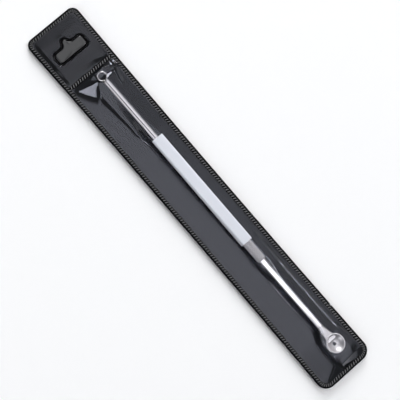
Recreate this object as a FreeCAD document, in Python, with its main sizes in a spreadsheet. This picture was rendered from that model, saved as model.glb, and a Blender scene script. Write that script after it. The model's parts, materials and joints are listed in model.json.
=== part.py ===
import FreeCAD, Part

import math
import os
from typing import NamedTuple, Optional

import Sketcher

# A steel blackhead extractor in its welded pouch, in millimetres.
# The pouch lies on its back on Z = 0 with its header towards -X, and the tool lies along X inside it.

SIZES = {
    # Pouch: a black back sheet and a clear front film, welded flat all round.
    "pouch_length": "174.4",
    "pouch_width": "24.2",
    "waist_depth": "0.5",
    "header_corner": "3",
    "foot_corner": "4.5",
    "back_thickness": "0.3",
    "film_thickness": "0.25",
    "weld_width": "1.9",
    "header_depth": "24.1",
    # Nick in the long edge, near the foot.
    "nick_place": "23.7",
    "nick_depth": "0.5",
    "nick_width": "0.9",
    # Hang slot in the header, and the knock-out slug that still fills it.
    "slot_setback": "15.5",
    "slot_length": "14.6",
    "slot_bar": "5.8",
    "slot_corner": "1.9",
    "slot_bump": "2.6",
    "slot_bump_radius": "1.7",
    "slot_flare_radius": "1.6",
    "slot_groove": "0.8",
    "slot_kerf": "0.1",
    "bridge_width": "0.6",
    # White strip on the film, over the grip.
    "label_length": "52",
    "label_width": "4.9",
    "label_thickness": "0.1",
    "label_place": "-1.7",
    "label_margin": "1",
    "label_fade": "3",
    # Tool: where it lies in the pouch, and how far it can slide there.
    "tool_length": "140",
    "tool_place": "9.1",
    "tool_offset": "2.5",
    "tool_yaw": "0.3",
    "lie_gap": "0.1",
    "play_header": "0.3",
    "play_foot": "3",
    # Grip: a turned bar with a diamond knurl and a blind bore in each end.
    "handle_length": "48.6",
    "handle_diameter": "3.7",
    "handle_end_diameter": "2.9",
    "handle_chamfer": "0.5",
    "knurl_pitch": "0.75",
    "knurl_angle": "30",
    "knurl_depth": "0.2",
    "bore_diameter": "1.7",
    "bore_depth": "9",
    "fit_gap": "0.02",
    "bore_end_gap": "0.4",
    # Loop end: a slim rod, drilled for the two tails of a wire ring.
    "loop_shank_diameter": "2.5",
    "loop_shank_edge": "0.25",
    "wire_diameter": "0.55",
    "loop_diameter": "4",
    "loop_bend": "0.65",
    "tail_gap": "0.06",
    "tail_depth": "4",
    # Spoon end: a slim tapered rod, a flattened neck and a dished cup with a hole.
    "spoon_shank_diameter": "2.6",
    "neck_diameter": "2.35",
    "neck_length": "4.8",
    "neck_width": "4",
    "neck_thickness": "1.5",
    "neck_facet_drop": "0.35",
    "cup_diameter": "7.7",
    "cup_depth": "1.5",
    "cup_wall": "0.45",
    "cup_rim_land": "0.35",
    "cup_rim_edge": "0.25",
    "cup_rim_height": "1.3",
    "cup_hole": "1.5",
    "spoon_roll": "-14",
    # Film tent over the tool.
    "film_gap": "0.2",
    "tent_half_width": "9.2",
    "tent_spread": "0.7",
    "tent_sink": "0.4",
    "tent_fade": "0.2",
    "crown_radius": "1.2",
    "crown_inset": "0.25",
    # How far every cutting shape runs past what it cuts.
    "overrun": "1",
}

# Shares of the cup's radius, along the tool and across it, where the tent over the cup begins to draw in.
CUP_SHOULDER_SHARE = 0.65
CUP_TIP_SHARE = 0.5
# Share of a round rod's diameter that the tent's two crown bends stand out from its middle.
ROD_CROWN_SHARE = 0.25
# Share of the way from the tent's left foot to its crown where the left flank bends, and the shares of
# the crown's height there: drawn straight at the loop, easing beside its shank, then slack on the back.
KNEE_SHARE = 0.72
TAUT_LEVEL = 0.68
EASING_LEVEL = 0.42
SLACK_LEVEL = 0.13
# Share of a skin's thickness by which the bend moves out, so that the film keeps its thickness there.
KNEE_LEAN = 0.55
# Share of the cup's radius that the neck's root keeps from the cup's middle.
NECK_ROOT_SHARE = 0.45

doc = FreeCAD.newDocument("blackhead_extractor")
sheet = doc.addObject("Spreadsheet::Sheet", "sizes")
for row, (alias, text) in enumerate(SIZES.items(), start=1):
    sheet.set(f"A{row}", alias)
    sheet.set(f"B{row}", text)
    sheet.setAlias(f"B{row}", alias)
doc.recompute()


class Dim:
    """A measure kept as its number and as the sheet expression that works it out."""

    def __init__(self, text, value):
        self.text = text
        self.value = value

    def __add__(self, other):
        other = as_dim(other)
        return Dim(f"({self.text} + {other.text})", self.value + other.value)

    def __sub__(self, other):
        other = as_dim(other)
        return Dim(f"({self.text} - {other.text})", self.value - other.value)

    def __mul__(self, other):
        other = as_dim(other)
        return Dim(f"({self.text} * {other.text})", self.value * other.value)

    def __truediv__(self, other):
        other = as_dim(other)
        return Dim(f"({self.text} / {other.text})", self.value / other.value)

    def __neg__(self):
        return Dim(f"(0 - {self.text})", -self.value)


def as_dim(measure):
    """Takes a plain count, share or zero as a measure."""
    if isinstance(measure, Dim):
        return measure
    return Dim(repr(measure), float(measure))


def size(alias):
    """A driving dimension, read from the sheet."""
    return Dim(f"sizes.{alias}", float(getattr(sheet, alias)))


def root(square):
    """The square root of a measure."""
    return Dim(f"sqrt({square.text})", math.sqrt(square.value))


def sine(degrees):
    """The sine of an angle in degrees."""
    return Dim(f"sin({degrees.text})", math.sin(math.radians(degrees.value)))


def cosine(degrees):
    """The cosine of an angle in degrees."""
    return Dim(f"cos({degrees.text})", math.cos(math.radians(degrees.value)))


def tangent(degrees):
    """The tangent of an angle in degrees."""
    return Dim(f"tan({degrees.text})", math.tan(math.radians(degrees.value)))


def lesser(first, second):
    """The smaller of two measures."""
    return Dim(f"min({first.text}; {second.text})", min(first.value, second.value))


def greater(first, second):
    """The larger of two measures."""
    return Dim(f"max({first.text}; {second.text})", max(first.value, second.value))


ZERO = as_dim(0)

# Places along the pouch.
HALF_LENGTH = size("pouch_length") / 2
HALF_WIDTH = size("pouch_width") / 2
FILM_BOTTOM = size("back_thickness")
POUCH_TOP = FILM_BOTTOM + size("film_thickness")
POCKET_START = size("header_depth") + size("weld_width") / 2 - HALF_LENGTH
POCKET_END = HALF_LENGTH - size("weld_width")
KERF_OUTSIDE = (size("slot_groove") - size("slot_kerf")) / 2
KERF_INSIDE = (size("slot_groove") + size("slot_kerf")) / 2
LABEL_START = size("label_place") - size("label_length") / 2
LABEL_END = size("label_place") + size("label_length") / 2

# Where the tool's middle and its two ends lie in the pouch.
HALF_TOOL = size("tool_length") / 2
TOOL_PLACE = size("tool_place")
TOOL_START = TOOL_PLACE - HALF_TOOL
TOOL_END = TOOL_PLACE + HALF_TOOL
TOOL_HEIGHT = FILM_BOTTOM + size("lie_gap") + size("handle_diameter") / 2

# Places along the tool, from the middle of its length.
HANDLE_HALF = size("handle_length") / 2
TENON_LENGTH = size("bore_depth") - size("bore_end_gap")
TENON_RADIUS = size("bore_diameter") / 2 - size("fit_gap")
LOOP_RADIUS = (size("loop_diameter") - size("wire_diameter")) / 2
LOOP_MIDDLE = size("loop_diameter") / 2 - HALF_TOOL
TAIL_OFFSET = (size("wire_diameter") + size("tail_gap")) / 2
BEND_REACH = LOOP_RADIUS + size("loop_bend")
BEND_SIDE = TAIL_OFFSET + size("loop_bend")
TAIL_START = LOOP_MIDDLE + root(BEND_REACH * BEND_REACH - BEND_SIDE * BEND_SIDE)
CUP_RADIUS = size("cup_diameter") / 2
CUP_MIDDLE = HALF_TOOL - CUP_RADIUS
NECK_START = CUP_MIDDLE - CUP_RADIUS - size("neck_length")


class Bend(NamedTuple):
    """A round stretch of an outline: its radius, and whether it turns left (+1) or right (-1)."""

    radius: Dim
    turn: int


class Corner(NamedTuple):
    """A corner of an outline, and the bend that leads on to the next one, if any."""

    across: Dim
    up: Dim
    bend: Optional[Bend] = None


class Station(NamedTuple):
    """A cross-section of the film tent: its place along X, the half width and height of its crown
    from the tool's axis, the share of the spoon's roll that it follows, and the share of the crown's
    height at which its left flank bends."""

    place: Dim
    half_width: Dim
    rise: Dim
    roll_share: int
    knee_level: float


def bind(obj, path, measure):
    """Ties a property of an object to the sheet."""
    obj.setExpression(path, as_dim(measure).text)


def new_body(name):
    """An empty body, named as its piece is."""
    body = doc.addObject("PartDesign::Body", name)
    body.Label = name
    return body


def new_sketch(body, name, role, lift=ZERO, shift=ZERO):
    """A sketch on one of the body's planes, lifted off it and shifted along its first axis."""
    sketch = body.newObject("Sketcher::SketchObject", name)
    plane = next(item for item in body.Origin.OriginFeatures if item.Role == role)
    sketch.AttachmentSupport = [(plane, "")]
    sketch.MapMode = "FlatFace"
    bind(sketch, "AttachmentOffset.Base.z", lift)
    bind(sketch, "AttachmentOffset.Base.x", shift)
    return sketch


def drive(sketch, kind, reference, measure):
    """Adds a dimension to a sketch and ties it to the sheet."""
    index = sketch.addConstraint(Sketcher.Constraint(kind, *reference, measure.value))
    name = f"dimension_{index}"
    sketch.renameConstraint(index, name)
    sketch.setExpression(f"Constraints.{name}", measure.text)


def pin_point(sketch, edge, end, across, up):
    """Fixes one end of an edge, or its centre, at a place in the sketch."""
    for kind, axis, measure in (("DistanceX", -2, across), ("DistanceY", -1, up)):
        if measure is ZERO:
            sketch.addConstraint(Sketcher.Constraint("PointOnObject", edge, end, axis))
        else:
            drive(sketch, kind, (-1, 1, edge, end), measure)


def arc_between(start, end, radius, turn):
    """The minor arc from start to end, as a geometry that runs counter-clockwise."""
    chord = end - start
    reach = math.sqrt(max(radius * radius - (chord.Length / 2) ** 2, 0))
    left = FreeCAD.Vector(-chord.y, chord.x, 0).normalize()
    centre = (start + end) * 0.5 + left * (reach * turn)
    first, last = (start, end) if turn > 0 else (end, start)
    circle = Part.Circle(centre, FreeCAD.Vector(0, 0, 1), radius)
    begin = math.atan2(first.y - centre.y, first.x - centre.x)
    finish = math.atan2(last.y - centre.y, last.x - centre.x)
    return Part.ArcOfCircle(circle, begin, finish)


def draw_outline(sketch, corners, closed=True):
    """Draws an outline of lines and arcs through corners, each tied to the sheet."""
    points = [FreeCAD.Vector(corner.across.value, corner.up.value, 0) for corner in corners]
    count = len(corners) if closed else len(corners) - 1
    joints = []
    for index in range(count):
        corner, start, end = corners[index], points[index], points[(index + 1) % len(points)]
        if corner.bend is None:
            edge = sketch.addGeometry(Part.LineSegment(start, end))
            joints.append((edge, 1, 2))
        else:
            bend = corner.bend
            edge = sketch.addGeometry(arc_between(start, end, bend.radius.value, bend.turn))
            joints.append((edge, 1, 2) if bend.turn > 0 else (edge, 2, 1))
    for index in range(count if closed else count - 1):
        edge, _, end = joints[index]
        following, start, _ = joints[(index + 1) % count]
        sketch.addConstraint(Sketcher.Constraint("Coincident", edge, end, following, start))
    for corner, (edge, start, _) in zip(corners, joints):
        pin_point(sketch, edge, start, corner.across, corner.up)
        if corner.bend is not None:
            drive(sketch, "Radius", (edge,), corner.bend.radius)
    if not closed:
        edge, _, end = joints[-1]
        pin_point(sketch, edge, end, corners[-1].across, corners[-1].up)


def draw_circle(sketch, radius, across=ZERO, up=ZERO):
    """Draws a circle, tied to the sheet."""
    middle = FreeCAD.Vector(across.value, up.value, 0)
    edge = sketch.addGeometry(Part.Circle(middle, FreeCAD.Vector(0, 0, 1), radius.value))
    pin_point(sketch, edge, 3, across, up)
    drive(sketch, "Radius", (edge,), radius)


def rectangle(left, bottom, right, top):
    """The corners of a rectangle."""
    return [Corner(left, bottom), Corner(right, bottom), Corner(right, top), Corner(left, top)]


def add_feature(body, kind, name, profile):
    """Adds a feature to a body, made from a sketch."""
    feature = body.newObject(f"PartDesign::{kind}", name)
    feature.Profile = profile
    return feature


def pad(body, name, sketch, length):
    """Raises a sketch to a thickness."""
    feature = add_feature(body, "Pad", name, sketch)
    bind(feature, "Length", length)


def cut_through(body, name, sketch):
    """Cuts a sketch right through the body, both ways."""
    feature = add_feature(body, "Pocket", name, sketch)
    feature.SideType = "Symmetric"
    feature.Type = "ThroughAll"


def revolve(body, kind, name, sketch, axis):
    """Turns a sketch round one of its own axes."""
    feature = add_feature(body, kind, name, sketch)
    feature.ReferenceAxis = (sketch, [axis])


def loft(body, kind, name, sections):
    """Joins sections in a row by straight lines."""
    feature = add_feature(body, kind, name, sections[0])
    feature.Sections = sections[1:]
    feature.Ruled = True


def lay_in_pouch(obj, roll=ZERO):
    """Lays a piece of the tool along its line in the pouch."""
    place = f"create(<<vector>>; {TOOL_PLACE.text}; {size('tool_offset').text}; {TOOL_HEIGHT.text})"
    turn = f"create(<<rotation>>; {size('tool_yaw').text}; 0; {roll.text})"
    obj.setExpression("Placement", f"create(<<placement>>; {place}; {turn})")


# Pouch outline, hang slot and nick, shared by the sheets.


def pouch_outline():
    """A long rectangle with round corners, whose long sides are drawn in by the bulge."""
    header, foot = size("header_corner"), size("foot_corner")
    side = HALF_LENGTH * 2 - header - foot
    waist = size("waist_depth")
    draw_in = Bend(side * side / (waist * 8) + waist / 2, -1)
    return [
        Corner(HALF_LENGTH, foot - HALF_WIDTH),
        Corner(HALF_LENGTH, HALF_WIDTH - foot, Bend(foot, 1)),
        Corner(HALF_LENGTH - foot, HALF_WIDTH, draw_in),
        Corner(header - HALF_LENGTH, HALF_WIDTH, Bend(header, 1)),
        Corner(-HALF_LENGTH, HALF_WIDTH - header),
        Corner(-HALF_LENGTH, header - HALF_WIDTH, Bend(header, 1)),
        Corner(header - HALF_LENGTH, -HALF_WIDTH, draw_in),
        Corner(HALF_LENGTH - foot, -HALF_WIDTH, Bend(foot, 1)),
    ]


def slot_outline(inset):
    """The hang slot: a bar across the pouch with a round bump towards the header's end."""
    straight = size("slot_setback") - HALF_LENGTH - inset
    shoulder = size("slot_setback") - size("slot_bar") - HALF_LENGTH + inset
    half = size("slot_length") / 2 - inset
    corner = size("slot_corner") - inset
    tip = size("slot_bump_radius") - inset
    flare = size("slot_flare_radius") + inset
    reach = tip + flare
    climb = reach - size("slot_bump")
    spread = root(reach * reach - climb * climb)
    meet_along = shoulder - size("slot_bump") + tip - climb * tip / reach
    meet_across = spread * tip / reach
    round_corner, round_flare = Bend(corner, 1), Bend(flare, -1)
    return [
        Corner(straight, corner - half),
        Corner(straight, half - corner, round_corner),
        Corner(straight - corner, half),
        Corner(shoulder + corner, half, round_corner),
        Corner(shoulder, half - corner),
        Corner(shoulder, spread, round_flare),
        Corner(meet_along, meet_across, Bend(tip, 1)),
        Corner(meet_along, -meet_across, round_flare),
        Corner(shoulder, -spread),
        Corner(shoulder, corner - half, round_corner),
        Corner(shoulder + corner, -half),
        Corner(straight - corner, -half, round_corner),
    ]


def nick_outline():
    """A small V in the long edge, cut to its depth below the drawn-in side."""
    middle = HALF_LENGTH - size("nick_place")
    along_share = middle / HALF_LENGTH
    edge = HALF_WIDTH - size("waist_depth") * (as_dim(1) - along_share * along_share)
    bottom = edge - size("nick_depth")
    top = edge + size("overrun")
    half = size("nick_width") / 2 * (top - bottom) / size("nick_depth")
    return [Corner(middle, bottom), Corner(middle + half, top), Corner(middle - half, top)]


def cut_slot_and_nick(body, slot_inset):
    """Cuts the hang slot, drawn in by an inset, and the edge's nick through a sheet."""
    for name, corners in (("slot", slot_outline(slot_inset)), ("nick", nick_outline())):
        sketch = new_sketch(body, f"{name}_outline", "XY_Plane", FILM_BOTTOM)
        draw_outline(sketch, corners)
        cut_through(body, f"{name}_cut", sketch)


def make_back_sheet():
    """The black sheet, cut along the middle of the slot's groove."""
    body = new_body("back_sheet")
    outline = new_sketch(body, "back_outline", "XY_Plane")
    draw_outline(outline, pouch_outline())
    pad(body, "back_pad", outline, size("back_thickness"))
    cut_slot_and_nick(body, KERF_OUTSIDE)
    return body


def make_hang_slot_slug():
    """The knock-out of both sheets, with a bridge over the kerf at each end of its bar.

    Its film stops at the groove's inner edge, and its back at the kerf.
    """
    body = new_body("hang_slot_slug")
    back = new_sketch(body, "slug_back_outline", "XY_Plane")
    draw_outline(back, slot_outline(KERF_INSIDE))
    pad(body, "slug_back", back, size("back_thickness"))
    film = new_sketch(body, "slug_film_outline", "XY_Plane", FILM_BOTTOM)
    draw_outline(film, slot_outline(size("slot_groove")))
    pad(body, "slug_film", film, size("film_thickness"))
    middle = size("slot_setback") - size("slot_bar") / 2 - HALF_LENGTH
    half_bridge = size("bridge_width") / 2
    end = size("slot_length") / 2 - KERF_OUTSIDE
    root_inside = size("slot_length") / 2 - size("slot_groove")
    for side, near, far in (("left", root_inside, end), ("right", -end, -root_inside)):
        bridge = new_sketch(body, f"{side}_bridge", "XY_Plane")
        draw_outline(bridge, rectangle(middle - half_bridge, near, middle + half_bridge, far))
        pad(body, f"{side}_bridge_pad", bridge, size("back_thickness"))
    return body


# Film tent: cross-sections of the film where the tool lifts it.


def crown_over(top):
    """Height of the crown's bend centres over a piece whose top stands this high above the axis."""
    return top + size("film_gap") - size("crown_radius")


def tent_stations():
    """The film's cross-sections, by name, from the cross weld to the foot.

    Each clears the tool over its whole travel.
    """
    gap = size("film_gap")
    back, ahead = size("play_header") + gap, size("play_foot") + gap
    loop_width = size("loop_diameter") / 2 - size("crown_inset")
    cup_width = CUP_RADIUS - size("crown_inset")
    shank_width = size("loop_shank_diameter") * ROD_CROWN_SHARE
    handle_width = size("handle_diameter") * ROD_CROWN_SHARE
    sunk = FILM_BOTTOM - size("tent_fade") - TOOL_HEIGHT - size("crown_radius")
    over_loop = crown_over(size("wire_diameter") / 2)
    over_shank = crown_over(size("loop_shank_diameter") / 2)
    over_handle = crown_over(size("handle_diameter") / 2)
    over_cup = crown_over(size("cup_rim_height"))
    label_width = size("label_width") / 2 - size("crown_inset")
    label_start = LABEL_START - size("label_margin")
    label_end = LABEL_END + size("label_margin")
    handle_start = lesser(TOOL_PLACE - HANDLE_HALF - back, label_start - size("label_fade"))
    handle_bare = label_end + size("label_fade")
    handle_end = greater(TOOL_PLACE + HANDLE_HALF + ahead, handle_bare + size("label_fade"))
    shoulder = CUP_RADIUS * CUP_SHOULDER_SHARE
    cup_start, cup_end = CUP_MIDDLE - shoulder - back, CUP_MIDDLE + shoulder + ahead
    taut, easing, slack = TAUT_LEVEL, EASING_LEVEL, SLACK_LEVEL
    return {
        "header_end": Station(POCKET_START, loop_width, sunk, 0, taut),
        "loop_tip": Station(TOOL_START - back, loop_width, over_loop, 0, taut),
        "shank_end": Station(TOOL_PLACE + TAIL_START - back, shank_width, over_shank, 0, easing),
        "handle_start": Station(handle_start, handle_width, over_handle, 0, slack),
        "label_start": Station(label_start, label_width, over_handle, 0, slack),
        "label_end": Station(label_end, label_width, over_handle, 0, slack),
        "handle_bare": Station(handle_bare, handle_width, over_handle, 0, slack),
        "handle_end": Station(handle_end, handle_width, over_handle, 0, slack),
        "neck": Station(TOOL_PLACE + NECK_START - back, handle_width, over_handle, 0, slack),
        "cup_start": Station(TOOL_PLACE + cup_start, cup_width, over_cup, 1, slack),
        "cup_end": Station(TOOL_PLACE + cup_end, cup_width, over_cup, 1, slack),
        "cup_tip": Station(TOOL_END + ahead, CUP_RADIUS * CUP_TIP_SHARE, over_cup, 1, slack),
        "foot_end": Station(POCKET_END, handle_width, sunk, 0, slack),
    }


def crown_centre(station, side):
    """Centre of one of the crown's two bends, in the plane of the section."""
    roll = size("spoon_roll") * station.roll_share
    line = size("tool_offset") + (station.place - TOOL_PLACE) * tangent(size("tool_yaw"))
    out = station.half_width * side
    across = line + out * cosine(roll) - station.rise * sine(roll)
    up = TOOL_HEIGHT + out * sine(roll) + station.rise * cosine(roll)
    return across, up


def tangent_point(corner, centre, radius, side):
    """Where the taut film from a corner of the tent's foot first touches a crown bend."""
    span = math.hypot(centre.x - corner.x, centre.y - corner.y)
    slope = math.atan2(centre.y - corner.y, (centre.x - corner.x) * -side) + math.asin(radius / span)
    return centre + FreeCAD.Vector(side * math.sin(slope), math.cos(slope), 0) * radius


def draw_tent_section(body, name, station, skin):
    """A film section: a foot line, a taut right flank, two crown bends with the flat between them, and
    a left flank that falls to its knee and lies slack from there to its foot."""
    sketch = new_sketch(body, name, "YZ_Plane", station.place)
    radius = size("crown_radius") + skin
    foot = size("tent_half_width") + (size("tent_spread") if skin is not ZERO else ZERO)
    sole = FILM_BOTTOM - size("tent_sink")
    centres = {side: crown_centre(station, side) for side in (-1, 1)}
    left_across, left_up = centres[-1]
    inner_foot = size("tent_half_width")
    knee_across = (left_across + inner_foot) * KNEE_SHARE - inner_foot - skin * KNEE_LEAN
    knee_up = sole + (left_up + size("crown_radius") - sole) * station.knee_level + skin
    middle = {side: FreeCAD.Vector(across.value, up.value, 0) for side, (across, up) in centres.items()}
    corner = {side: FreeCAD.Vector(foot.value * side, sole.value, 0) for side in (-1, 1)}
    knee = FreeCAD.Vector(knee_across.value, knee_up.value, 0)
    start = {-1: knee, 1: corner[1]}
    flank = {side: tangent_point(start[side], middle[side], radius.value, side) for side in (-1, 1)}
    along = (middle[1] - middle[-1]).normalize()
    lift = FreeCAD.Vector(-along.y, along.x, 0) * radius.value
    crest = {side: middle[side] + lift for side in (-1, 1)}

    def bend(start, end, centre):
        circle = Part.Circle(centre, FreeCAD.Vector(0, 0, 1), radius.value)
        angles = [math.atan2(point.y - centre.y, point.x - centre.x) for point in (start, end)]
        return Part.ArcOfCircle(circle, *angles)

    base = sketch.addGeometry(Part.LineSegment(corner[-1], corner[1]))
    right_flank = sketch.addGeometry(Part.LineSegment(corner[1], flank[1]))
    right_bend = sketch.addGeometry(bend(flank[1], crest[1], middle[1]))
    flat = sketch.addGeometry(Part.LineSegment(crest[1], crest[-1]))
    left_bend = sketch.addGeometry(bend(crest[-1], flank[-1], middle[-1]))
    left_flank = sketch.addGeometry(Part.LineSegment(flank[-1], knee))
    slack = sketch.addGeometry(Part.LineSegment(knee, corner[-1]))
    for first, second in ((left_flank, slack), (slack, base), (base, right_flank)):
        sketch.addConstraint(Sketcher.Constraint("Coincident", first, 2, second, 1))
    ring = (right_flank, right_bend, flat, left_bend, left_flank)
    for first, second in zip(ring, ring[1:]):
        sketch.addConstraint(Sketcher.Constraint("Tangent", first, 2, second, 1))
    pin_point(sketch, base, 1, -foot, sole)
    pin_point(sketch, base, 2, foot, sole)
    pin_point(sketch, slack, 1, knee_across, knee_up)
    for edge, side in ((left_bend, -1), (right_bend, 1)):
        pin_point(sketch, edge, 3, *centres[side])
        drive(sketch, "Radius", (edge,), radius)
    return sketch


def loft_tent(body, kind, name, stations, skin):
    """Lofts the tent through its stations, one skin thickness outside the crown's bends."""
    sections = [
        draw_tent_section(body, f"{name}_{place}", station, skin) for place, station in stations.items()
    ]
    loft(body, kind, name, sections)


def make_front_film():
    """The clear film: flat where it is welded, and tented over the tool along its pocket."""
    body = new_body("front_film")
    outline = new_sketch(body, "film_outline", "XY_Plane", FILM_BOTTOM)
    draw_outline(outline, pouch_outline())
    pad(body, "film_pad", outline, size("film_thickness"))
    stations = tent_stations()
    loft_tent(body, "AdditiveLoft", "tent_outside", stations, size("film_thickness"))
    loft_tent(body, "SubtractiveLoft", "tent_inside", stations, ZERO)
    reach = HALF_LENGTH + size("overrun")
    side = HALF_WIDTH + size("overrun")
    underside = new_sketch(body, "underside", "XY_Plane", FILM_BOTTOM)
    draw_outline(underside, rectangle(-reach, -side, reach, side))
    trim = add_feature(body, "Pocket", "underside_trim", underside)
    trim.Type = "ThroughAll"
    cut_slot_and_nick(body, ZERO)
    return body


def make_label_strip():
    """The white strip, bent over the film's crown: the film's own form, one strip thickness up."""
    body = new_body("label_strip")
    stations = {place: station for place, station in tent_stations().items() if place.startswith("label")}
    film = size("film_thickness")
    loft_tent(body, "AdditiveLoft", "strip_outside", stations, film + size("label_thickness"))
    loft_tent(body, "SubtractiveLoft", "strip_inside", stations, film)
    frame = new_sketch(body, "strip_frame", "XY_Plane")
    reach = HALF_LENGTH + size("overrun")
    side = HALF_WIDTH + size("overrun")
    low = size("tool_offset") - size("label_width") / 2
    high = size("tool_offset") + size("label_width") / 2
    draw_outline(frame, rectangle(-reach, -side, reach, side))
    draw_outline(frame, rectangle(LABEL_START, low, LABEL_END, high))
    cut_through(body, "strip_trim", frame)
    return body


# Tool: a knurled grip with a shank pressed into each end.


def knurl_solid():
    """A bar cut by two crossing sets of helical grooves, which leave a pyramid in each diamond.

    Rows of groove crossings and pyramid tips alternate round the bar and along it.
    """
    crest = size("handle_diameter").value / 2
    valley = crest - size("knurl_depth").value
    length = size("handle_length").value - size("handle_chamfer").value * 2
    starts = max(round(2 * math.pi * crest / size("knurl_pitch").value), 3)
    half_step = size("knurl_pitch").value / math.tan(math.radians(size("knurl_angle").value)) / 2
    rows = max(round(length / half_step), 2)

    def point(row, column):
        radius = crest if (row + column) % 2 else valley
        angle = math.pi * (column % (2 * starts)) / starts
        along = length * (row / rows - 0.5)
        return FreeCAD.Vector(along, radius * math.cos(angle), radius * math.sin(angle))

    points = [point(row, column) for row in range(rows + 1) for column in range(2 * starts)]

    def index(row, column):
        return row * 2 * starts + column % (2 * starts)

    facets = []
    for row in range(rows + 1):
        for column in range((row + 1) % 2, 2 * starts, 2):
            tip, before, after = index(row, column), index(row, column - 1), index(row, column + 1)
            if row > 0:
                down = index(row - 1, column)
                facets += [(tip, before, down), (tip, down, after)]
            if row < rows:
                up = index(row + 1, column)
                facets += [(tip, up, before), (tip, after, up)]
    faces = [Part.Face(Part.makePolygon([points[i] for i in (*facet, facet[0])])) for facet in facets]
    for row in (0, rows):
        ring = [points[index(row, column)] for column in range(2 * starts)]
        faces.append(Part.Face(Part.makePolygon(ring + ring[:1])))
    shell = Part.makeShell(faces)
    shell.sewShape()
    return Part.makeSolid(shell)


def make_knurled_handle():
    """The grip: a knurled bar with a chamfered end and a blind bore at each end."""
    bar = doc.addObject("Part::Feature", "knurled_bar")
    bar.Shape = knurl_solid()
    ends = []
    bores = []
    for side, sign in (("loop", -1), ("spoon", 1)):
        end = doc.addObject("Part::Cone", f"{side}_end")
        bind(end, "Radius1", size("handle_diameter") / 2 - size("knurl_depth"))
        bind(end, "Radius2", size("handle_end_diameter") / 2)
        bind(end, "Height", size("handle_chamfer"))
        bore = doc.addObject("Part::Cylinder", f"{side}_bore")
        bind(bore, "Radius", size("bore_diameter") / 2)
        bind(bore, "Height", size("bore_depth") + size("overrun"))
        for piece, start in (
            (end, HANDLE_HALF - size("handle_chamfer")),
            (bore, HANDLE_HALF - size("bore_depth")),
        ):
            place = f"create(<<vector>>; {(start * sign).text}; 0; 0)"
            turn = f"create(<<rotation>>; create(<<vector>>; 0; 1; 0); {90 * sign})"
            piece.setExpression("Placement", f"create(<<placement>>; {place}; {turn})")
        ends.append(end)
        bores.append(bore)
    blank = doc.addObject("Part::MultiFuse", "handle_blank")
    blank.Shapes = [bar, *ends]
    drill = doc.addObject("Part::MultiFuse", "handle_drill")
    drill.Shapes = bores
    handle = doc.addObject("Part::Cut", "knurled_handle")
    handle.Label = "knurled_handle"
    handle.Base = blank
    handle.Tool = drill
    lay_in_pouch(handle)
    return handle


def make_loop_shank():
    """The loop end's rod: a tenon in the handle, a plain rod and a drilled socket for the wire."""
    body = new_body("loop_shank")
    profile = new_sketch(body, "loop_shank_profile", "XY_Plane")
    rod, edge = size("loop_shank_diameter") / 2, size("loop_shank_edge")
    draw_outline(
        profile,
        [
            Corner(TAIL_START, ZERO),
            Corner(TENON_LENGTH - HANDLE_HALF, ZERO),
            Corner(TENON_LENGTH - HANDLE_HALF, TENON_RADIUS),
            Corner(-HANDLE_HALF, TENON_RADIUS),
            Corner(-HANDLE_HALF, rod),
            Corner(TAIL_START + edge, rod, Bend(edge, 1)),
            Corner(TAIL_START, rod - edge),
        ],
    )
    revolve(body, "Revolution", "loop_shank_turning", profile, "H_Axis")
    socket = new_sketch(body, "socket_outline", "YZ_Plane", TAIL_START)
    draw_circle(socket, TAIL_OFFSET + size("wire_diameter") / 2 + size("fit_gap"))
    drill = add_feature(body, "Pocket", "socket", socket)
    drill.Reversed = True
    bind(drill, "Length", size("tail_depth") + size("bore_end_gap"))
    lay_in_pouch(body)
    return body


def make_wire_loop():
    """One wire: a tail, a small bend out, the ring, a small bend back and the second tail."""
    body = new_body("wire_loop")
    path = new_sketch(body, "wire_path", "XY_Plane")
    tail_end = TAIL_START + size("tail_depth")
    meet_along = LOOP_MIDDLE + (TAIL_START - LOOP_MIDDLE) * LOOP_RADIUS / BEND_REACH
    meet_across = BEND_SIDE * LOOP_RADIUS / BEND_REACH
    bend_out, ring = Bend(size("loop_bend"), -1), Bend(LOOP_RADIUS, 1)
    draw_outline(
        path,
        [
            Corner(tail_end, TAIL_OFFSET),
            Corner(TAIL_START, TAIL_OFFSET, bend_out),
            Corner(meet_along, meet_across, ring),
            Corner(LOOP_MIDDLE, LOOP_RADIUS, ring),
            Corner(LOOP_MIDDLE - LOOP_RADIUS, ZERO, ring),
            Corner(LOOP_MIDDLE, -LOOP_RADIUS, ring),
            Corner(meet_along, -meet_across, bend_out),
            Corner(TAIL_START, -TAIL_OFFSET),
            Corner(tail_end, -TAIL_OFFSET),
        ],
        closed=False,
    )
    section = new_sketch(body, "wire_section", "YZ_Plane", tail_end)
    draw_circle(section, size("wire_diameter") / 2, TAIL_OFFSET)
    pipe = add_feature(body, "AdditivePipe", "wire_pipe", section)
    pipe.Spine = (path, [])
    lay_in_pouch(body)
    return body


def cap_radius(half_width, depth):
    """Radius of a round cap from its half width and its depth."""
    return (half_width * half_width + depth * depth) / (depth * 2)


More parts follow.
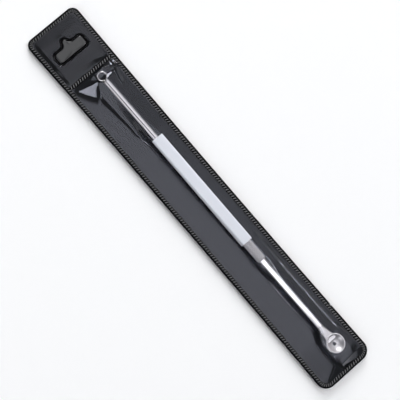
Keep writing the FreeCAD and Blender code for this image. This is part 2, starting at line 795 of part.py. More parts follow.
def make_spoon_shank():
    """The spoon end's rod: a tenon, a tapered rod, a flattened neck and a dished cup with a hole."""
    body = new_body("spoon_shank")
    shank, neck = size("spoon_shank_diameter") / 2, size("neck_diameter") / 2
    profile = new_sketch(body, "spoon_shank_profile", "XY_Plane")
    draw_outline(
        profile,
        [
            Corner(HANDLE_HALF - TENON_LENGTH, ZERO),
            Corner(NECK_START, ZERO),
            Corner(NECK_START, neck),
            Corner(HANDLE_HALF, shank),
            Corner(HANDLE_HALF, TENON_RADIUS),
            Corner(HANDLE_HALF - TENON_LENGTH, TENON_RADIUS),
        ],
    )
    revolve(body, "Revolution", "spoon_shank_turning", profile, "H_Axis")

    # The neck widens and thins from the round rod to the cup's wall.
    rim = size("cup_rim_height")
    inside = CUP_MIDDLE - CUP_RADIUS * NECK_ROOT_SHARE
    neck_middle = rim - size("neck_thickness") / 2
    round_end = new_sketch(body, "neck_round_end", "YZ_Plane", NECK_START)
    draw_circle(round_end, neck)
    flat_end = new_sketch(body, "neck_flat_end", "YZ_Plane", inside)
    wide, thin = size("neck_width") / 2, size("neck_thickness") / 2
    ellipse = Part.Ellipse(FreeCAD.Vector(0, neck_middle.value, 0), wide.value, thin.value)
    edge = flat_end.addGeometry(ellipse)
    flat_end.exposeInternalGeometry(edge)
    pin_point(flat_end, edge, 3, ZERO, neck_middle)
    major, minor = edge + 1, edge + 2
    flat_end.addConstraint(Sketcher.Constraint("Horizontal", major))
    drive(flat_end, "Distance", (major,), wide * 2)
    drive(flat_end, "Distance", (minor,), thin * 2)
    loft(body, "AdditiveLoft", "neck_forging", [round_end, flat_end])

    # A flat is ground on the neck's top, down to the foot of the cup's rim.
    facet = new_sketch(body, "facet_outline", "XZ_Plane")
    cup_edge = CUP_MIDDLE - CUP_RADIUS
    above = rim + size("overrun")
    draw_outline(
        facet,
        [
            Corner(NECK_START, neck),
            Corner(cup_edge, neck - size("neck_facet_drop")),
            Corner(inside, neck - size("neck_facet_drop")),
            Corner(inside, above),
            Corner(NECK_START, above),
        ],
    )
    cut_through(body, "facet_grind", facet)

    # The cup is a turned cap, hollowed out and drilled.
    inner = CUP_RADIUS - size("cup_rim_land")
    floor = rim - size("cup_depth")
    under = floor - size("cup_wall")
    rim_foot = rim - size("cup_rim_edge")
    cap = new_sketch(body, "cup_profile", "XZ_Plane", shift=CUP_MIDDLE)
    draw_outline(
        cap,
        [
            Corner(ZERO, under, Bend(cap_radius(CUP_RADIUS, rim_foot - under), 1)),
            Corner(CUP_RADIUS, rim_foot),
            Corner(CUP_RADIUS, rim),
            Corner(ZERO, rim),
        ],
    )
    revolve(body, "Revolution", "cup_cap", cap, "V_Axis")
    bowl = new_sketch(body, "bowl_profile", "XZ_Plane", shift=CUP_MIDDLE)
    draw_outline(
        bowl,
        [
            Corner(ZERO, floor, Bend(cap_radius(inner, size("cup_depth")), 1)),
            Corner(inner, rim),
            Corner(inner, above),
            Corner(ZERO, above),
        ],
    )
    revolve(body, "Groove", "cup_bowl", bowl, "V_Axis")
    hole = new_sketch(body, "hole_outline", "XY_Plane", shift=CUP_MIDDLE)
    draw_circle(hole, size("cup_hole") / 2)
    cut_through(body, "cup_drilling", hole)
    lay_in_pouch(body, size("spoon_roll"))
    return body


def check_document():
    """Stops if any object of the document failed."""
    for obj in doc.Objects:
        if "Invalid" in obj.State or "Error" in obj.State:
            raise RuntimeError(f"{obj.Name} did not build: {obj.State}")


def write_pieces(pieces):
    """Checks each piece's shape, then writes each to its own file."""
    for piece in pieces:
        shape = piece.Shape
        if shape.isNull() or not shape.isValid() or len(shape.Solids) != 1:
            raise RuntimeError(f"{piece.Label} is not one valid solid")
    os.makedirs("parts", exist_ok=True)
    for piece in pieces:
        piece.Shape.exportStep(os.path.join("parts", f"{piece.Label}.step"))
        box = piece.Shape.BoundBox
        print(f"{piece.Label}: {box.XLength:.2f} x {box.YLength:.2f} x {box.ZLength:.2f} mm,"
              f" {piece.Shape.Volume:.2f} mm3, {len(piece.Shape.Faces)} faces")


all_pieces = [
    make_back_sheet(),
    make_front_film(),
    make_hang_slot_slug(),
    make_label_strip(),
    make_knurled_handle(),
    make_loop_shank(),
    make_wire_loop(),
    make_spoon_shank(),
]
doc.recompute()
check_document()
write_pieces(all_pieces)
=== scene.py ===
"""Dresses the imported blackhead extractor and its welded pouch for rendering.

Forms are worked out as numpy arrays in millimetres, in the part's own frame: +X runs from the
pouch's header to its foot, +Y across it and +Z up out of its clear front. They become metres in
the mesh.
"""

from __future__ import annotations

import json
import logging
import math
from dataclasses import dataclass
from enum import Enum
from typing import Any, NamedTuple, Sequence

import bmesh
import bpy
import numpy as np
from mathutils import Matrix
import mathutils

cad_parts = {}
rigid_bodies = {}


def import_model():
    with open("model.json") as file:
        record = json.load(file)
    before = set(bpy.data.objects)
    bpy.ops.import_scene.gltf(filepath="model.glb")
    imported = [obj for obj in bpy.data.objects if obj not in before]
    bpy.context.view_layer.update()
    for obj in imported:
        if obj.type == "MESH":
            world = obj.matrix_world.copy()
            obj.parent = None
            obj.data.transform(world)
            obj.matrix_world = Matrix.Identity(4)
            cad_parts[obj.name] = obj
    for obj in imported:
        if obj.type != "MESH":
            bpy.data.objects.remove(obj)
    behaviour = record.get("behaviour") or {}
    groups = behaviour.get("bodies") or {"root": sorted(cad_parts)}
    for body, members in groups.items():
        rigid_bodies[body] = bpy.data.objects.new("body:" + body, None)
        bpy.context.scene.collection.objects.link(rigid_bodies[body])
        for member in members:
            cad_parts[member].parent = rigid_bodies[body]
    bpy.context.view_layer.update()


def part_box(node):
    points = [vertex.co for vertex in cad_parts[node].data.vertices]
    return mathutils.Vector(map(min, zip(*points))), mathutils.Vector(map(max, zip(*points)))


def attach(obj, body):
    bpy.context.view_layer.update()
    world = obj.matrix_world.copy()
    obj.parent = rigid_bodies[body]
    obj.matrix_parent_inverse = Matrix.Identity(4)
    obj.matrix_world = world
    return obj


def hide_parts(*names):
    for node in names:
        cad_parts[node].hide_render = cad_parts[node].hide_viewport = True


LOG = logging.getLogger("pouch_scene")
Array = np.ndarray
Material = bpy.types.Material
Spot = tuple[float, float]
Vector = tuple[float, float, float]
MM = 0.001
# Points nearer than this, in metres, become one.
MERGE_M = 1e-7
QUARTER = math.pi / 2
# Half the chord, in millimetres, that a route's direction is read from.
HALF_CHORD = 0.4
# Readings that soften a broken line.
LINE_TAPS = 9


class Body(Enum):
    """The bodies that pieces ride on."""

    POUCH = "pouch"
    TOOL = "tool"


class Slot(Enum):
    """The record's material slots."""

    BACK = "black_vinyl"
    FILM = "clear_vinyl"
    SLUG = "slug_vinyl"
    STRIP = "white_strip"
    GRIP = "knurled_steel"
    STEEL = "polished_steel"
    WIRE = "wire_steel"


# Meshes


class Form(NamedTuple):
    """A mesh in the making: points in millimetres and four-cornered faces."""

    points: Array
    faces: Array


def stacked(*parts: Array | float) -> Array:
    """Spreads coordinates to one shape and stacks them into points."""
    return np.stack(np.broadcast_arrays(*parts), axis=-1)


def circle(count: int) -> Array:
    """Even angles round a full turn."""
    return np.linspace(0, 2 * math.pi, count, endpoint=False)


def arc(x: float, y: float, radius: float, start: float, end: float, count: int) -> Array:
    """Points of an arc: the middle plus the radius times the angle's cosine and sine.

    Args:
        x: The middle's first coordinate.
        y: The middle's second coordinate.
        radius: The arc's radius.
        start: Its first angle.
        end: Its last angle.
        count: How many points it has.

    Returns:
        The points, in order.
    """
    angle = np.linspace(start, end, count)
    return stacked(x + radius * np.cos(angle), y + radius * np.sin(angle))


def joined(forms: Sequence[Form]) -> Form:
    """Puts several forms into one.

    Args:
        forms: The forms, in order.

    Returns:
        One form that holds them all, unmerged.
    """
    starts = np.cumsum([0] + [len(form.points) for form in forms[:-1]])
    faces = [form.faces + start for form, start in zip(forms, starts)]
    return Form(np.concatenate([form.points for form in forms]), np.concatenate(faces))


def swept(sections: Array, ring: bool = False) -> Form:
    """Joins a row of closed loops into a solid.

    Each loop's point j joins its neighbours in the loop and point j of the next loop. The two end
    loops are closed by strips that join point j to its opposite number, count - 1 - j.

    Args:
        sections: Loops as rows x points x 3, with an even number of points.
        ring: Whether the last loop joins the first, in place of two closed ends.

    Returns:
        The closed form.
    """
    rows, count = sections.shape[:2]
    index = np.arange(rows * count).reshape(rows, count)
    next_to = np.roll(index, -1, axis=1)
    faces = stacked(index, next_to, np.roll(next_to, -1, axis=0), np.roll(index, -1, axis=0))
    if ring:
        return Form(sections.reshape(-1, 3), faces.reshape(-1, 4))
    half = np.arange(count // 2 - 1)
    strip = stacked(half, half + 1, count - 2 - half, count - 1 - half)
    ends = np.concatenate([strip, strip[:, ::-1] + index[-1, 0]])
    return Form(sections.reshape(-1, 3), np.concatenate([faces[:-1].reshape(-1, 4), ends]))


def slab(x: Array, y: Array, top: Array | float, under: Array | float, ring: bool = False) -> Form:
    """Fills the room between two heights over one grid.

    Each loop runs out along the top and back along the underside.

    Args:
        x: Places along X.
        y: Places along Y.
        top: Height of the upper surface.
        under: Height of the lower surface.
        ring: Whether the grid's last row joins its first.

    Returns:
        The closed form.
    """
    sides = stacked(x, y, top), stacked(x, y, under)[:, ::-1]
    return swept(np.concatenate(sides, axis=1), ring)


def turned(profile: Array, steps: int) -> Form:
    """Turns a closed profile round the Z axis.

    Args:
        profile: Points of the profile as radius and height, with an even number of points.
        steps: How many copies of the profile go round.

    Returns:
        A closed ring.
    """
    angle = circle(steps)[:, None]
    radius, height = profile.T
    return swept(stacked(radius * np.cos(angle), radius * np.sin(angle), height), ring=True)


def rod(along: Array, radius: Array, sides: int = 48) -> Form:
    """A round bar along X whose radius changes along its length.

    Args:
        along: Places along X.
        radius: The bar's radius at each place, or at each place and each point round the bar.
        sides: Points round the bar.

    Returns:
        The bar with flat ends.
    """
    angle = circle(sides)
    radius = radius.reshape(len(along), -1)
    return swept(stacked(along[:, None], radius * np.cos(angle), radius * np.sin(angle)))


class Route:
    """A flat path that can be read by its length."""

    def __init__(self, points: Array, closed: bool) -> None:
        """Measures the path.

        Args:
            points: Points of the path in X and Y.
            closed: Whether the path returns to its first point.
        """
        self.points = np.concatenate([points, points[:1]]) if closed else points
        steps = np.hypot(*np.diff(self.points, axis=0).T)
        self.marks = np.concatenate([[0], np.cumsum(steps)])
        self.closed = closed

    @property
    def length(self) -> float:
        """The path's whole length."""
        return float(self.marks[-1])

    def at(self, along: Array) -> Array:
        """Points at these lengths along the path, taken round again on a closed one."""
        along = np.mod(along, self.length) if self.closed else along
        return stacked(*(np.interp(along, self.marks, part) for part in self.points.T))

    def even(self, count: int) -> Array:
        """Points at even lengths along a closed path."""
        return self.at(np.linspace(0, self.length, count, endpoint=False))

    def left(self, along: Array, span: float = HALF_CHORD) -> Array:
        """Unit vectors to the path's left, square to the chord over a short span.

        Args:
            along: Lengths along the path.
            span: Half the chord's length.

        Returns:
            One vector for each length.
        """
        ahead = self.at(along + span) - self.at(along - span)
        ahead /= np.linalg.norm(ahead, axis=-1, keepdims=True)
        return stacked(-ahead[..., 1], ahead[..., 0])

    def carry(self, along: Array, section: Array, span: float = HALF_CHORD) -> Form:
        """Carries a section along the path, as a ring along a closed one.

        Args:
            along: Lengths along the path.
            section: The section's points as distance to the path's left and height.
            span: Half the chord that the path's direction is read from.

        Returns:
            The closed form.
        """
        flat = self.at(along)[:, None] + self.left(along, span)[:, None] * section[:, :1]
        return swept(stacked(flat[..., 0], flat[..., 1], section[:, 1]), self.closed)


def smooth(low: float, high: float, value: Array) -> Array:
    """Eases from 0 at low to 1 at high with level ends."""
    share = np.clip((value - low) / (high - low), 0, 1)
    return share * share * (3 - 2 * share)


def greater(first: Array, second: Array, blend: Array | float) -> Array:
    """The greater of two heights, rounded where they cross over about the blend's height."""
    gap = np.clip(1 - np.abs(first - second) / blend, 0, 1)
    return np.maximum(first, second) + blend * gap**2 / 4


def eased(value: Array, places: Sequence[float], levels: Sequence[float], blur: float) -> Array:
    """Reads a broken line, softened by the mean over a short span.

    Args:
        value: Where to read it.
        places: The line's corners.
        levels: The line's level at each corner.
        blur: Half the span that is averaged.

    Returns:
        The softened levels.
    """
    taps = np.linspace(-blur, blur, LINE_TAPS)
    return np.mean([np.interp(value + tap, places, levels) for tap in taps], axis=0)


def beside(x: Array, y: Array, start: Array, stop: Array) -> tuple[Array, Array]:
    """How places lie to a line, from their cross and dot product with it.

    Args:
        x: Places along X.
        y: Places along Y.
        start: The line's first point.
        stop: The line's last point.

    Returns:
        How far each place lies left of the line, and its share of the way along it.
    """
    span = stop - start
    off_x, off_y = x - start[0], y - start[1]
    length = np.hypot(*span)
    left = (span[0] * off_y - span[1] * off_x) / length
    return left, (span[0] * off_x + span[1] * off_y) / length**2


# Finishes


def linear(colour: str) -> tuple[float, float, float, float]:
    """Turns an sRGB hex colour into a linear one.

    Args:
        colour: The colour as # and six hex digits.

    Returns:
        Red, green, blue and an alpha of 1.
    """
    shares = [int(colour[i : i + 2], 16) / 255 for i in (1, 3, 5)]
    red, green, blue = (s / 12.92 if s <= 0.04045 else ((s + 0.055) / 1.055) ** 2.4 for s in shares)
    return red, green, blue, 1.0


def add_node(
    tree: bpy.types.NodeTree,
    kind: str,
    values: dict[Any, Any] | None = None,
    links: dict[Any, bpy.types.NodeSocket] | None = None,
    **settings: Any,
) -> bpy.types.Node:
    """Adds a node with its settings, socket values and links.

    Args:
        tree: The node tree.
        kind: The node's type, after the words that all types share.
        values: Values by input socket.
        links: Source sockets by input socket.
        **settings: The node's own properties.

    Returns:
        The new node.
    """
    node = tree.nodes.new("ShaderNode" + kind)
    for name, setting in settings.items():
        setattr(node, name, setting)
    for socket, value in (values or {}).items():
        node.inputs[socket].default_value = value
    for socket, source in (links or {}).items():
        tree.links.new(source, node.inputs[socket])
    return node


def cleared(owner: Material | bpy.types.World) -> bpy.types.NodeTree:
    """Gives a material or a world an empty node tree.

    Args:
        owner: The material or world.

    Returns:
        Its node tree.
    """
    owner.use_nodes = True
    owner.node_tree.nodes.clear()
    return owner.node_tree


@dataclass(frozen=True)
class Finish:
    """An opaque finish, whose fine grain varies its tone, its roughness and its relief."""

    name: str
    colour: str
    roughness: float
    grain_mm: float
    detail: float
    shade: str = ""
    rough_swing: float = 0.0
    grain_depth_mm: float = 0.0
    stretch: float = 1.0
    metallic: float = 0.0
    specular: float = 0.5
    coat: float = 0.0
    coat_roughness: float = 0.06

    def material(self) -> Material:
        """Noise on the piece's own coordinates, drawn out along X, feeds tone, roughness and bump.

        What doesn't vary stays a plain value on the shader.

        Returns:
            The material.
        """
        material = bpy.data.materials.new(self.name)
        tree = cleared(material)
        place = add_node(tree, "TexCoord").outputs["Object"]
        drawn = add_node(tree, "Mapping", {"Scale": (1 / self.stretch, 1, 1)}, {"Vector": place})
        waves = {"Scale": 1 / (self.grain_mm * MM), "Detail": self.detail}
        grain = add_node(tree, "TexNoise", waves, {"Vector": drawn.outputs[0]}).outputs["Fac"]
        links = {}
        if self.shade:
            tones = {6: linear(self.colour), 7: linear(self.shade)}
            tone = add_node(tree, "Mix", tones, {0: grain}, data_type="RGBA")
            links["Base Color"] = tone.outputs[2]
        if self.rough_swing:
            least, most = (self.roughness * (1 + sign * self.rough_swing) for sign in (-1, 1))
            rough = add_node(tree, "MapRange", {"To Min": least, "To Max": most}, {"Value": grain})
            links["Roughness"] = rough.outputs[0]
        if self.grain_depth_mm:
            depth = {"Strength": 1.0, "Distance": self.grain_depth_mm * MM}
            links["Normal"] = add_node(tree, "Bump", depth, {"Height": grain}).outputs["Normal"]
        values = {
            "Base Color": linear(self.colour),
            "Metallic": self.metallic,
            "Roughness": self.roughness,
            "Specular IOR Level": self.specular,
            "Coat Weight": self.coat,
            "Coat Roughness": self.coat_roughness,
        }
        surface = add_node(tree, "BsdfPrincipled", values, links)
        add_node(tree, "OutputMaterial", None, {"Surface": surface.outputs[0]})
        return material


@dataclass(frozen=True)
class BlackVinyl(Finish):
    """Black calendered PVC: a soft sheet with a fine grain, or pressed matt or glossy by a weld."""

    grain_mm: float = 0.5
    detail: float = 3.0
    rough_swing: float = 0.2
    grain_depth_mm: float = 0.002


@dataclass(frozen=True)
class WhiteInk(Finish):
    """Opaque white ink on vinyl: flat and even, with a faint cloudiness and a satin face."""

    name: str = "white_vinyl_ink"
    colour: str = "#dadde5"
    shade: str = "#d5d8e0"
    roughness: float = 0.4
    grain_mm: float = 3.0
    detail: float = 2.0


@dataclass(frozen=True)
class Stainless(Finish):
    """Stainless steel: drawn, turned or ground, with lines that run the way it was worked.

    Lines are far finer than a pixel, so they are drawn about four times as coarse.
    """

    colour: str = "#dcd7d1"
    shade: str = "#c9c2ba"
    roughness: float = 0.12
    grain_mm: float = 0.3
    detail: float = 2.0
    rough_swing: float = 0.3
    grain_depth_mm: float = 0.002
    stretch: float = 12.0
    metallic: float = 1.0


@dataclass(frozen=True)
class ClearVinyl:
    """Clear calendered PVC film: a mirror-smooth skin that shows what lies under it.

    The eye gets a weak reflection of the room, stronger where the film tilts away.
    """

    tint: str = "#f4f5f8"
    sheen: str = "#eff0fb"
    face_on: float = 0.027
    tilt_power: float = 5.0
    roughness: float = 0.05
    ripple_mm: float = 2.2
    ripple_detail: float = 1.0
    ripple_depth_mm: float = 0.001

    def material(self) -> Material:
        """Mixes a gloss over a see-through film by a power of the tilt of its surface.

        Returns:
            The material.
        """
        material = bpy.data.materials.new("clear_calendered_vinyl")
        tree = cleared(material)
        place = add_node(tree, "TexCoord").outputs["Object"]
        scale = 1 / (self.ripple_mm * MM)
        waves = {"Scale": scale, "Detail": self.ripple_detail}
        ripple = add_node(tree, "TexNoise", waves, {"Vector": place}).outputs["Fac"]
        depth = {"Strength": 1.0, "Distance": self.ripple_depth_mm * MM}
        bump = add_node(tree, "Bump", depth, {"Height": ripple})
        tilt = add_node(tree, "LayerWeight", {"Blend": 0.5}).outputs["Facing"]
        steep = add_node(tree, "Math", {1: self.tilt_power}, {0: tilt}, operation="POWER")
        gloss = add_node(tree, "MapRange", {"To Min": self.face_on}, {"Value": steep.outputs[0]})
        clear = add_node(tree, "BsdfTransparent", {"Color": linear(self.tint)})
        skin = add_node(
            tree,
            "BsdfPrincipled",
            {"Base Color": linear(self.sheen), "Metallic": 1.0, "Roughness": self.roughness},
            {"Normal": bump.outputs["Normal"]},
        )
        shares = {0: gloss.outputs[0], 1: clear.outputs[0], 2: skin.outputs[0]}
        mix = add_node(tree, "MixShader", None, shares)
        add_node(tree, "OutputMaterial", None, {"Surface": mix.outputs[0]})
        return material


# Pieces


def placed(name: str, data: bpy.types.ID) -> bpy.types.Object:
    """Puts a mesh, lamp or camera into the scene.

    Args:
        name: The object's name.
        data: What the object shows.

    Returns:
        The new object.
    """
    thing = bpy.data.objects.new(name, data)
    bpy.context.scene.collection.objects.link(thing)
    return thing


def make_piece(
    name: str,
    form: Form,
    body: Body,
    slot: Slot,
    material: Material,
    stands_for: str = "",
    sharp_degrees: float = 35.0,
) -> None:
    """Makes a piece of the object from a form.

    Args:
        name: The piece's name.
        form: Its mesh, in millimetres.
        body: The body that it rides on.
        slot: The record's slot that its finish belongs to. Not used.
        material: Its finish.
        stands_for: The CAD node that it replaces, if any.
        sharp_degrees: Edges bent more than this stay sharp.
    """
    mesh = bpy.data.meshes.new(name)
    mesh.from_pydata((form.points * MM).tolist(), [], form.faces.tolist())
    work = bmesh.new()
    work.from_mesh(mesh)
    bmesh.ops.remove_doubles(work, verts=work.verts, dist=MERGE_M)
    bmesh.ops.recalc_face_normals(work, faces=work.faces)
    work.to_mesh(mesh)
    work.free()
    mesh.shade_smooth()
    mesh.set_sharp_from_angle(angle=math.radians(sharp_degrees))
    mesh.materials.append(material)
    piece = placed(name, mesh)
    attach(piece, body.value)
    if stands_for:
        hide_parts(stands_for)
    LOG.info("%s: %d faces", name, len(mesh.polygons))


def node_box(node: str) -> tuple[Array, Array]:
    """Lowest and highest corner of a CAD node, in millimetres."""
    low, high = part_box(node)
    return np.array(low) / MM, np.array(high) / MM


@dataclass(frozen=True)
class ToolPlace:
    """Where the tool lies in the pouch, and the sizes that its three parts share."""

    middle: Array
    half_length: float
    yaw: float
    handle_radius: float
    handle_half: float
    tenon_length: float = 8.6
    tenon_radius: float = 0.83

    @classmethod
    def from_frame(cls) -> ToolPlace:
        """Reads the tool's place from the CAD nodes' boxes.

        Returns:
            The middle of its length, its half length, its turn and its handle's size.
        """
        grip_low, grip_high = node_box("knurled_handle")
        loop_low, loop_high = node_box("wire_loop")
        spoon_high = node_box("spoon_shank")[1]
        grip = (grip_low + grip_high) / 2
        loop = (loop_low + loop_high) / 2
        return cls(
            middle=np.array([(loop_low[0] + spoon_high[0]) / 2, grip[1], grip[2]]),
            half_length=(spoon_high[0] - loop_low[0]) / 2,
            yaw=math.atan2(grip[1] - loop[1], grip[0] - loop[0]),
            handle_radius=(grip_high[2] - grip_low[2]) / 2,
            handle_half=(grip_high[0] - grip_low[0]) / 2,
        )

    def line(self, x: Array) -> Array:
        """The tool's axis across the pouch at places along X."""
        return self.middle[1] + (x - self.middle[0]) * math.tan(self.yaw)

    def lay(self, form: Form, roll_degrees: float = 0.0) -> Form:
        """Lays a form that was made along X about its own middle into the pouch.

        Args:
            form: The form, with the tool's middle at the origin.
            roll_degrees: Its turn about its own length.

        Returns:
            The form in its place.
        """
        roll = Matrix.Rotation(math.radians(roll_degrees), 3, "X")
        turn = Matrix.Rotation(self.yaw, 3, "Z") @ roll
        return Form(form.points @ np.array(turn).T + self.middle, form.faces)


@dataclass
class KnurledGrip:
    """The tool's grip: a turned bar with a diamond knurl and a blind bore in each end.

    The diamonds are 1.06 mm round the bar by 1.4 mm along it, a little larger than the solid's.
    """

    place: ToolPlace
    end_diameter: float = 2.9
    chamfer: float = 0.5
    starts: int = 11
    diamond_length: float = 1.4
    flat_share: float = 0.3
    groove_depth: float = 0.22
    bore_radius: float = 0.85
    bore_depth: float = 9.0
    steps: int = 10
    sharp_degrees: float = 20.0

    def form(self) -> Form:
        """A bar cut by two sets of helical grooves, with a cone at each end.

        A point's nearness is 1 on the middle line of a groove of either set and 0 half way between
        two lines. Up to the flat share the bar keeps its full radius, and from there it falls
        evenly to the groove's depth.

        Returns:
            The bar with its two bores.
        """
        half, full = self.place.handle_half, self.place.handle_radius
        rows = round(2 * half / self.diamond_length * self.steps) + 1
        along = np.linspace(-half, half, rows)
        sides = self.starts * self.steps
        run, turn = along[:, None] / self.diamond_length, np.arange(sides) / self.steps
        near = 2 * np.maximum(np.abs((run + turn) % 1 - 0.5), np.abs((run - turn) % 1 - 0.5))
        groove = np.clip((near - self.flat_share) / (1 - self.flat_share), 0, 1)
        inside = half - np.abs(along)
        cone = np.interp(inside, [0, self.chamfer], [self.end_diameter / 2, full])
        radius = np.minimum(full - self.groove_depth * groove, cone[:, None])
        bore = np.full((2, sides), self.bore_radius)
        floor = half - self.bore_depth
        along = np.concatenate([[-floor, -half], along, [half, floor]])
        return rod(along, np.concatenate([bore, radius, bore]), sides)

    def build(self) -> None:
        """Makes the grip."""
        form = self.place.lay(self.form())
        steel = Stainless("knurled_stainless", roughness=0.35, stretch=1.0).material()
        make_piece(
            "knurled_grip",
            form,
            Body.TOOL,
            Slot.GRIP,
            steel,
            "knurled_handle",
            self.sharp_degrees,
        )


@dataclass
class LoopEnd:
    """The tool's loop end: a slim rod and a ring of wire whose tails sit in its socket."""

    place: ToolPlace
    rod_diameter: float = 2.5
    rod_edge: float = 0.25
    socket_radius: float = 0.6
    wire_diameter: float = 0.55
    loop_diameter: float = 4.0
    bend_radius: float = 0.65
    tail_gap: float = 0.06
    tail_depth: float = 4.0
    wire_span: float = 0.05
    wire_sides: int = 16
    rod_rows: int = 60
    edge_steps: int = 7
    bend_steps: int = 10
    ring_steps: int = 72

    def __post_init__(self) -> None:
        """Works out where the ring's bends meet the tails."""
        self.ring_radius = (self.loop_diameter - self.wire_diameter) / 2
        self.ring_middle = self.loop_diameter / 2 - self.place.half_length
        self.tail_side = (self.wire_diameter + self.tail_gap) / 2
        self.bend_side = self.tail_side + self.bend_radius
        reach = self.ring_radius + self.bend_radius
        self.meet_angle = math.asin(self.bend_side / reach)
        self.tail_start = self.ring_middle + reach * math.cos(self.meet_angle)

    def rod_form(self) -> Form:
        """A plain bar with a rounded front edge and a tenon in the handle.

        Returns:
            The bar along X.
        """
        start, edge, radius = self.tail_start, self.rod_edge, self.rod_diameter / 2
        inner, tenon = -self.place.handle_half, self.place.tenon_radius
        profile = np.concatenate(
            [
                [[start, self.socket_radius], [start, radius - edge]],
                arc(start + edge, radius - edge, edge, math.pi, QUARTER, self.edge_steps),
                stacked(np.linspace(start + edge, inner, self.rod_rows), radius),
                [[inner, tenon], [inner + self.place.tenon_length, tenon]],
            ]
        )
        return rod(*profile.T)

    def wire_form(self) -> Form:
        """A round section carried along a tail, the bend out, the ring, the bend back and a tail.

        Returns:
            The wire about the tool's axis.
        """
        meet = self.meet_angle
        tail = [[self.tail_start + self.tail_depth, self.tail_side]]
        bend = self.bend_radius, -QUARTER, meet - math.pi, self.bend_steps
        first = np.concatenate([tail, arc(self.tail_start, self.bend_side, *bend)])
        turn = meet, 2 * math.pi - meet, self.ring_steps
        ring = arc(self.ring_middle, 0.0, self.ring_radius, *turn)
        second = (first * [1, -1])[::-1]
        route = Route(np.concatenate([first, ring[1:-1], second]), closed=False)
        angle = circle(self.wire_sides)
        section = self.wire_diameter / 2 * stacked(np.cos(angle), np.sin(angle))
        return route.carry(route.marks, section, self.wire_span)

    def build(self, steel: Material) -> None:
        """Makes the rod and the wire.

        Args:
            steel: The rod's finish.
        """
        shaft, ring = self.place.lay(self.rod_form()), self.place.lay(self.wire_form())
        wire = Stainless("drawn_stainless_wire", roughness=0.12).material()
        make_piece("loop_rod", shaft, Body.TOOL, Slot.STEEL, steel, "loop_shank")
        make_piece("wire_ring", ring, Body.TOOL, Slot.WIRE, wire, "wire_loop")


@dataclass
class SpoonEnd:
    """The tool's spoon end: a tapered rod, a flattened neck and a dished cup with a hole."""

    place: ToolPlace
    rod_diameter: float = 2.6
    neck_diameter: float = 2.35
    neck_length: float = 4.8
    neck_width: float = 4.0
    neck_thickness: float = 1.5
    neck_overlap: float = 0.01
    facet_drop: float = 0.35
    root_share: float = 0.45
    cup_diameter: float = 7.7
    cup_depth: float = 1.5
    cup_wall: float = 0.45
    rim_land: float = 0.35
    rim_edge: float = 0.25
    rim_height: float = 1.3
    rim_round: float = 0.08
    hole_diameter: float = 1.5
    roll_degrees: float = -14.0
    rod_rows: int = 60
    neck_rows: int = 40
    neck_sides: int = 64
    cap_steps: int = 24
    rim_steps: int = 5
    cup_steps: int = 96

    def __post_init__(self) -> None:
        """Works out the places along the tool."""
        self.cup_radius = self.cup_diameter / 2
        self.cup_middle = self.place.half_length - self.cup_radius
        self.neck_start = self.cup_middle - self.cup_radius - self.neck_length

    def rod_form(self) -> Form:
        """A bar that tapers from the handle to the neck, with a tenon in the handle.

        Returns:
            The bar along X.
        """
        outer, tenon = self.place.handle_half, self.place.tenon_radius
        taper = np.linspace(self.rod_diameter, self.neck_diameter, self.rod_rows) / 2
        shaft = stacked(np.linspace(outer, self.neck_start, self.rod_rows), taper)
        inside = [[outer - self.place.tenon_length, tenon], [outer, tenon]]
        return rod(*np.concatenate([inside, shaft]).T)

    def neck_form(self) -> Form:
        """A round section that widens and thins towards the cup, with a flat ground on its top.

        The half width and half thickness ease from the rod's radius to the neck's own. Every point
        above the ground flat drops on to it.

        Returns:
            The neck along X.
        """
        root = self.cup_middle - self.cup_radius * self.root_share
        along = np.linspace(self.neck_start - self.neck_overlap, root, self.neck_rows)[:, None]
        share = smooth(self.neck_start, root, along)
        start, thickness = self.neck_diameter / 2, self.neck_thickness / 2
        wide = start + (self.neck_width / 2 - start) * share
        thin = start + (thickness - start) * share
        angle = circle(self.neck_sides)
        height = (self.rim_height - thickness) * share + thin * np.sin(angle)
        fall = np.clip((along - self.neck_start) / self.neck_length, 0, 1)
        height = np.minimum(height, start - self.facet_drop * fall)
        return swept(stacked(along, wide * np.cos(angle), height))

    def cup_form(self) -> Form:
        """A cap with a hollow cap in it, a narrow rim and a round hole, turned about its own axis.

        Returns:
            The cup.
        """
        outer, rim, soft = self.cup_radius, self.rim_height, self.rim_round
        inner, hole = outer - self.rim_land, self.hole_diameter / 2
        floor = rim - self.cup_depth

        def cap(radius: Array, half: float, bottom: float, top: float) -> Array:
            """Points of a round cap's profile at each radius."""
            ball = (half**2 + (top - bottom) ** 2) / (2 * (top - bottom))
            return stacked(radius, bottom + ball - np.sqrt(ball**2 - radius**2))

        under, foot = floor - self.cup_wall, rim - self.rim_edge
        profile = np.concatenate(
            [
                cap(np.linspace(hole, outer, self.cap_steps), outer, under, foot),
                arc(outer - soft, rim - soft, soft, 0, QUARTER, self.rim_steps),
                [[inner + soft, rim]],
                cap(np.linspace(inner, hole, self.cap_steps), inner, floor, rim),
            ]
        )
        cup = turned(profile, self.cup_steps)
        return Form(cup.points + [self.cup_middle, 0, 0], cup.faces)

    def build(self, steel: Material) -> None:
        """Makes the rod, the ground neck and the cup.

        Args:
            steel: The rod's finish.
        """
        ground = Stainless("ground_stainless", roughness=0.34).material()
        dished = Stainless("dished_stainless", roughness=0.42).material()
        for name, form, finish, node in (
            ("spoon_rod", self.rod_form(), steel, "spoon_shank"),
            ("spoon_neck", self.neck_form(), ground, ""),
            ("spoon_cup", self.cup_form(), dished, ""),
        ):
            laid = self.place.lay(form, self.roll_degrees)
            make_piece(name, laid, Body.TOOL, Slot.STEEL, finish, node)


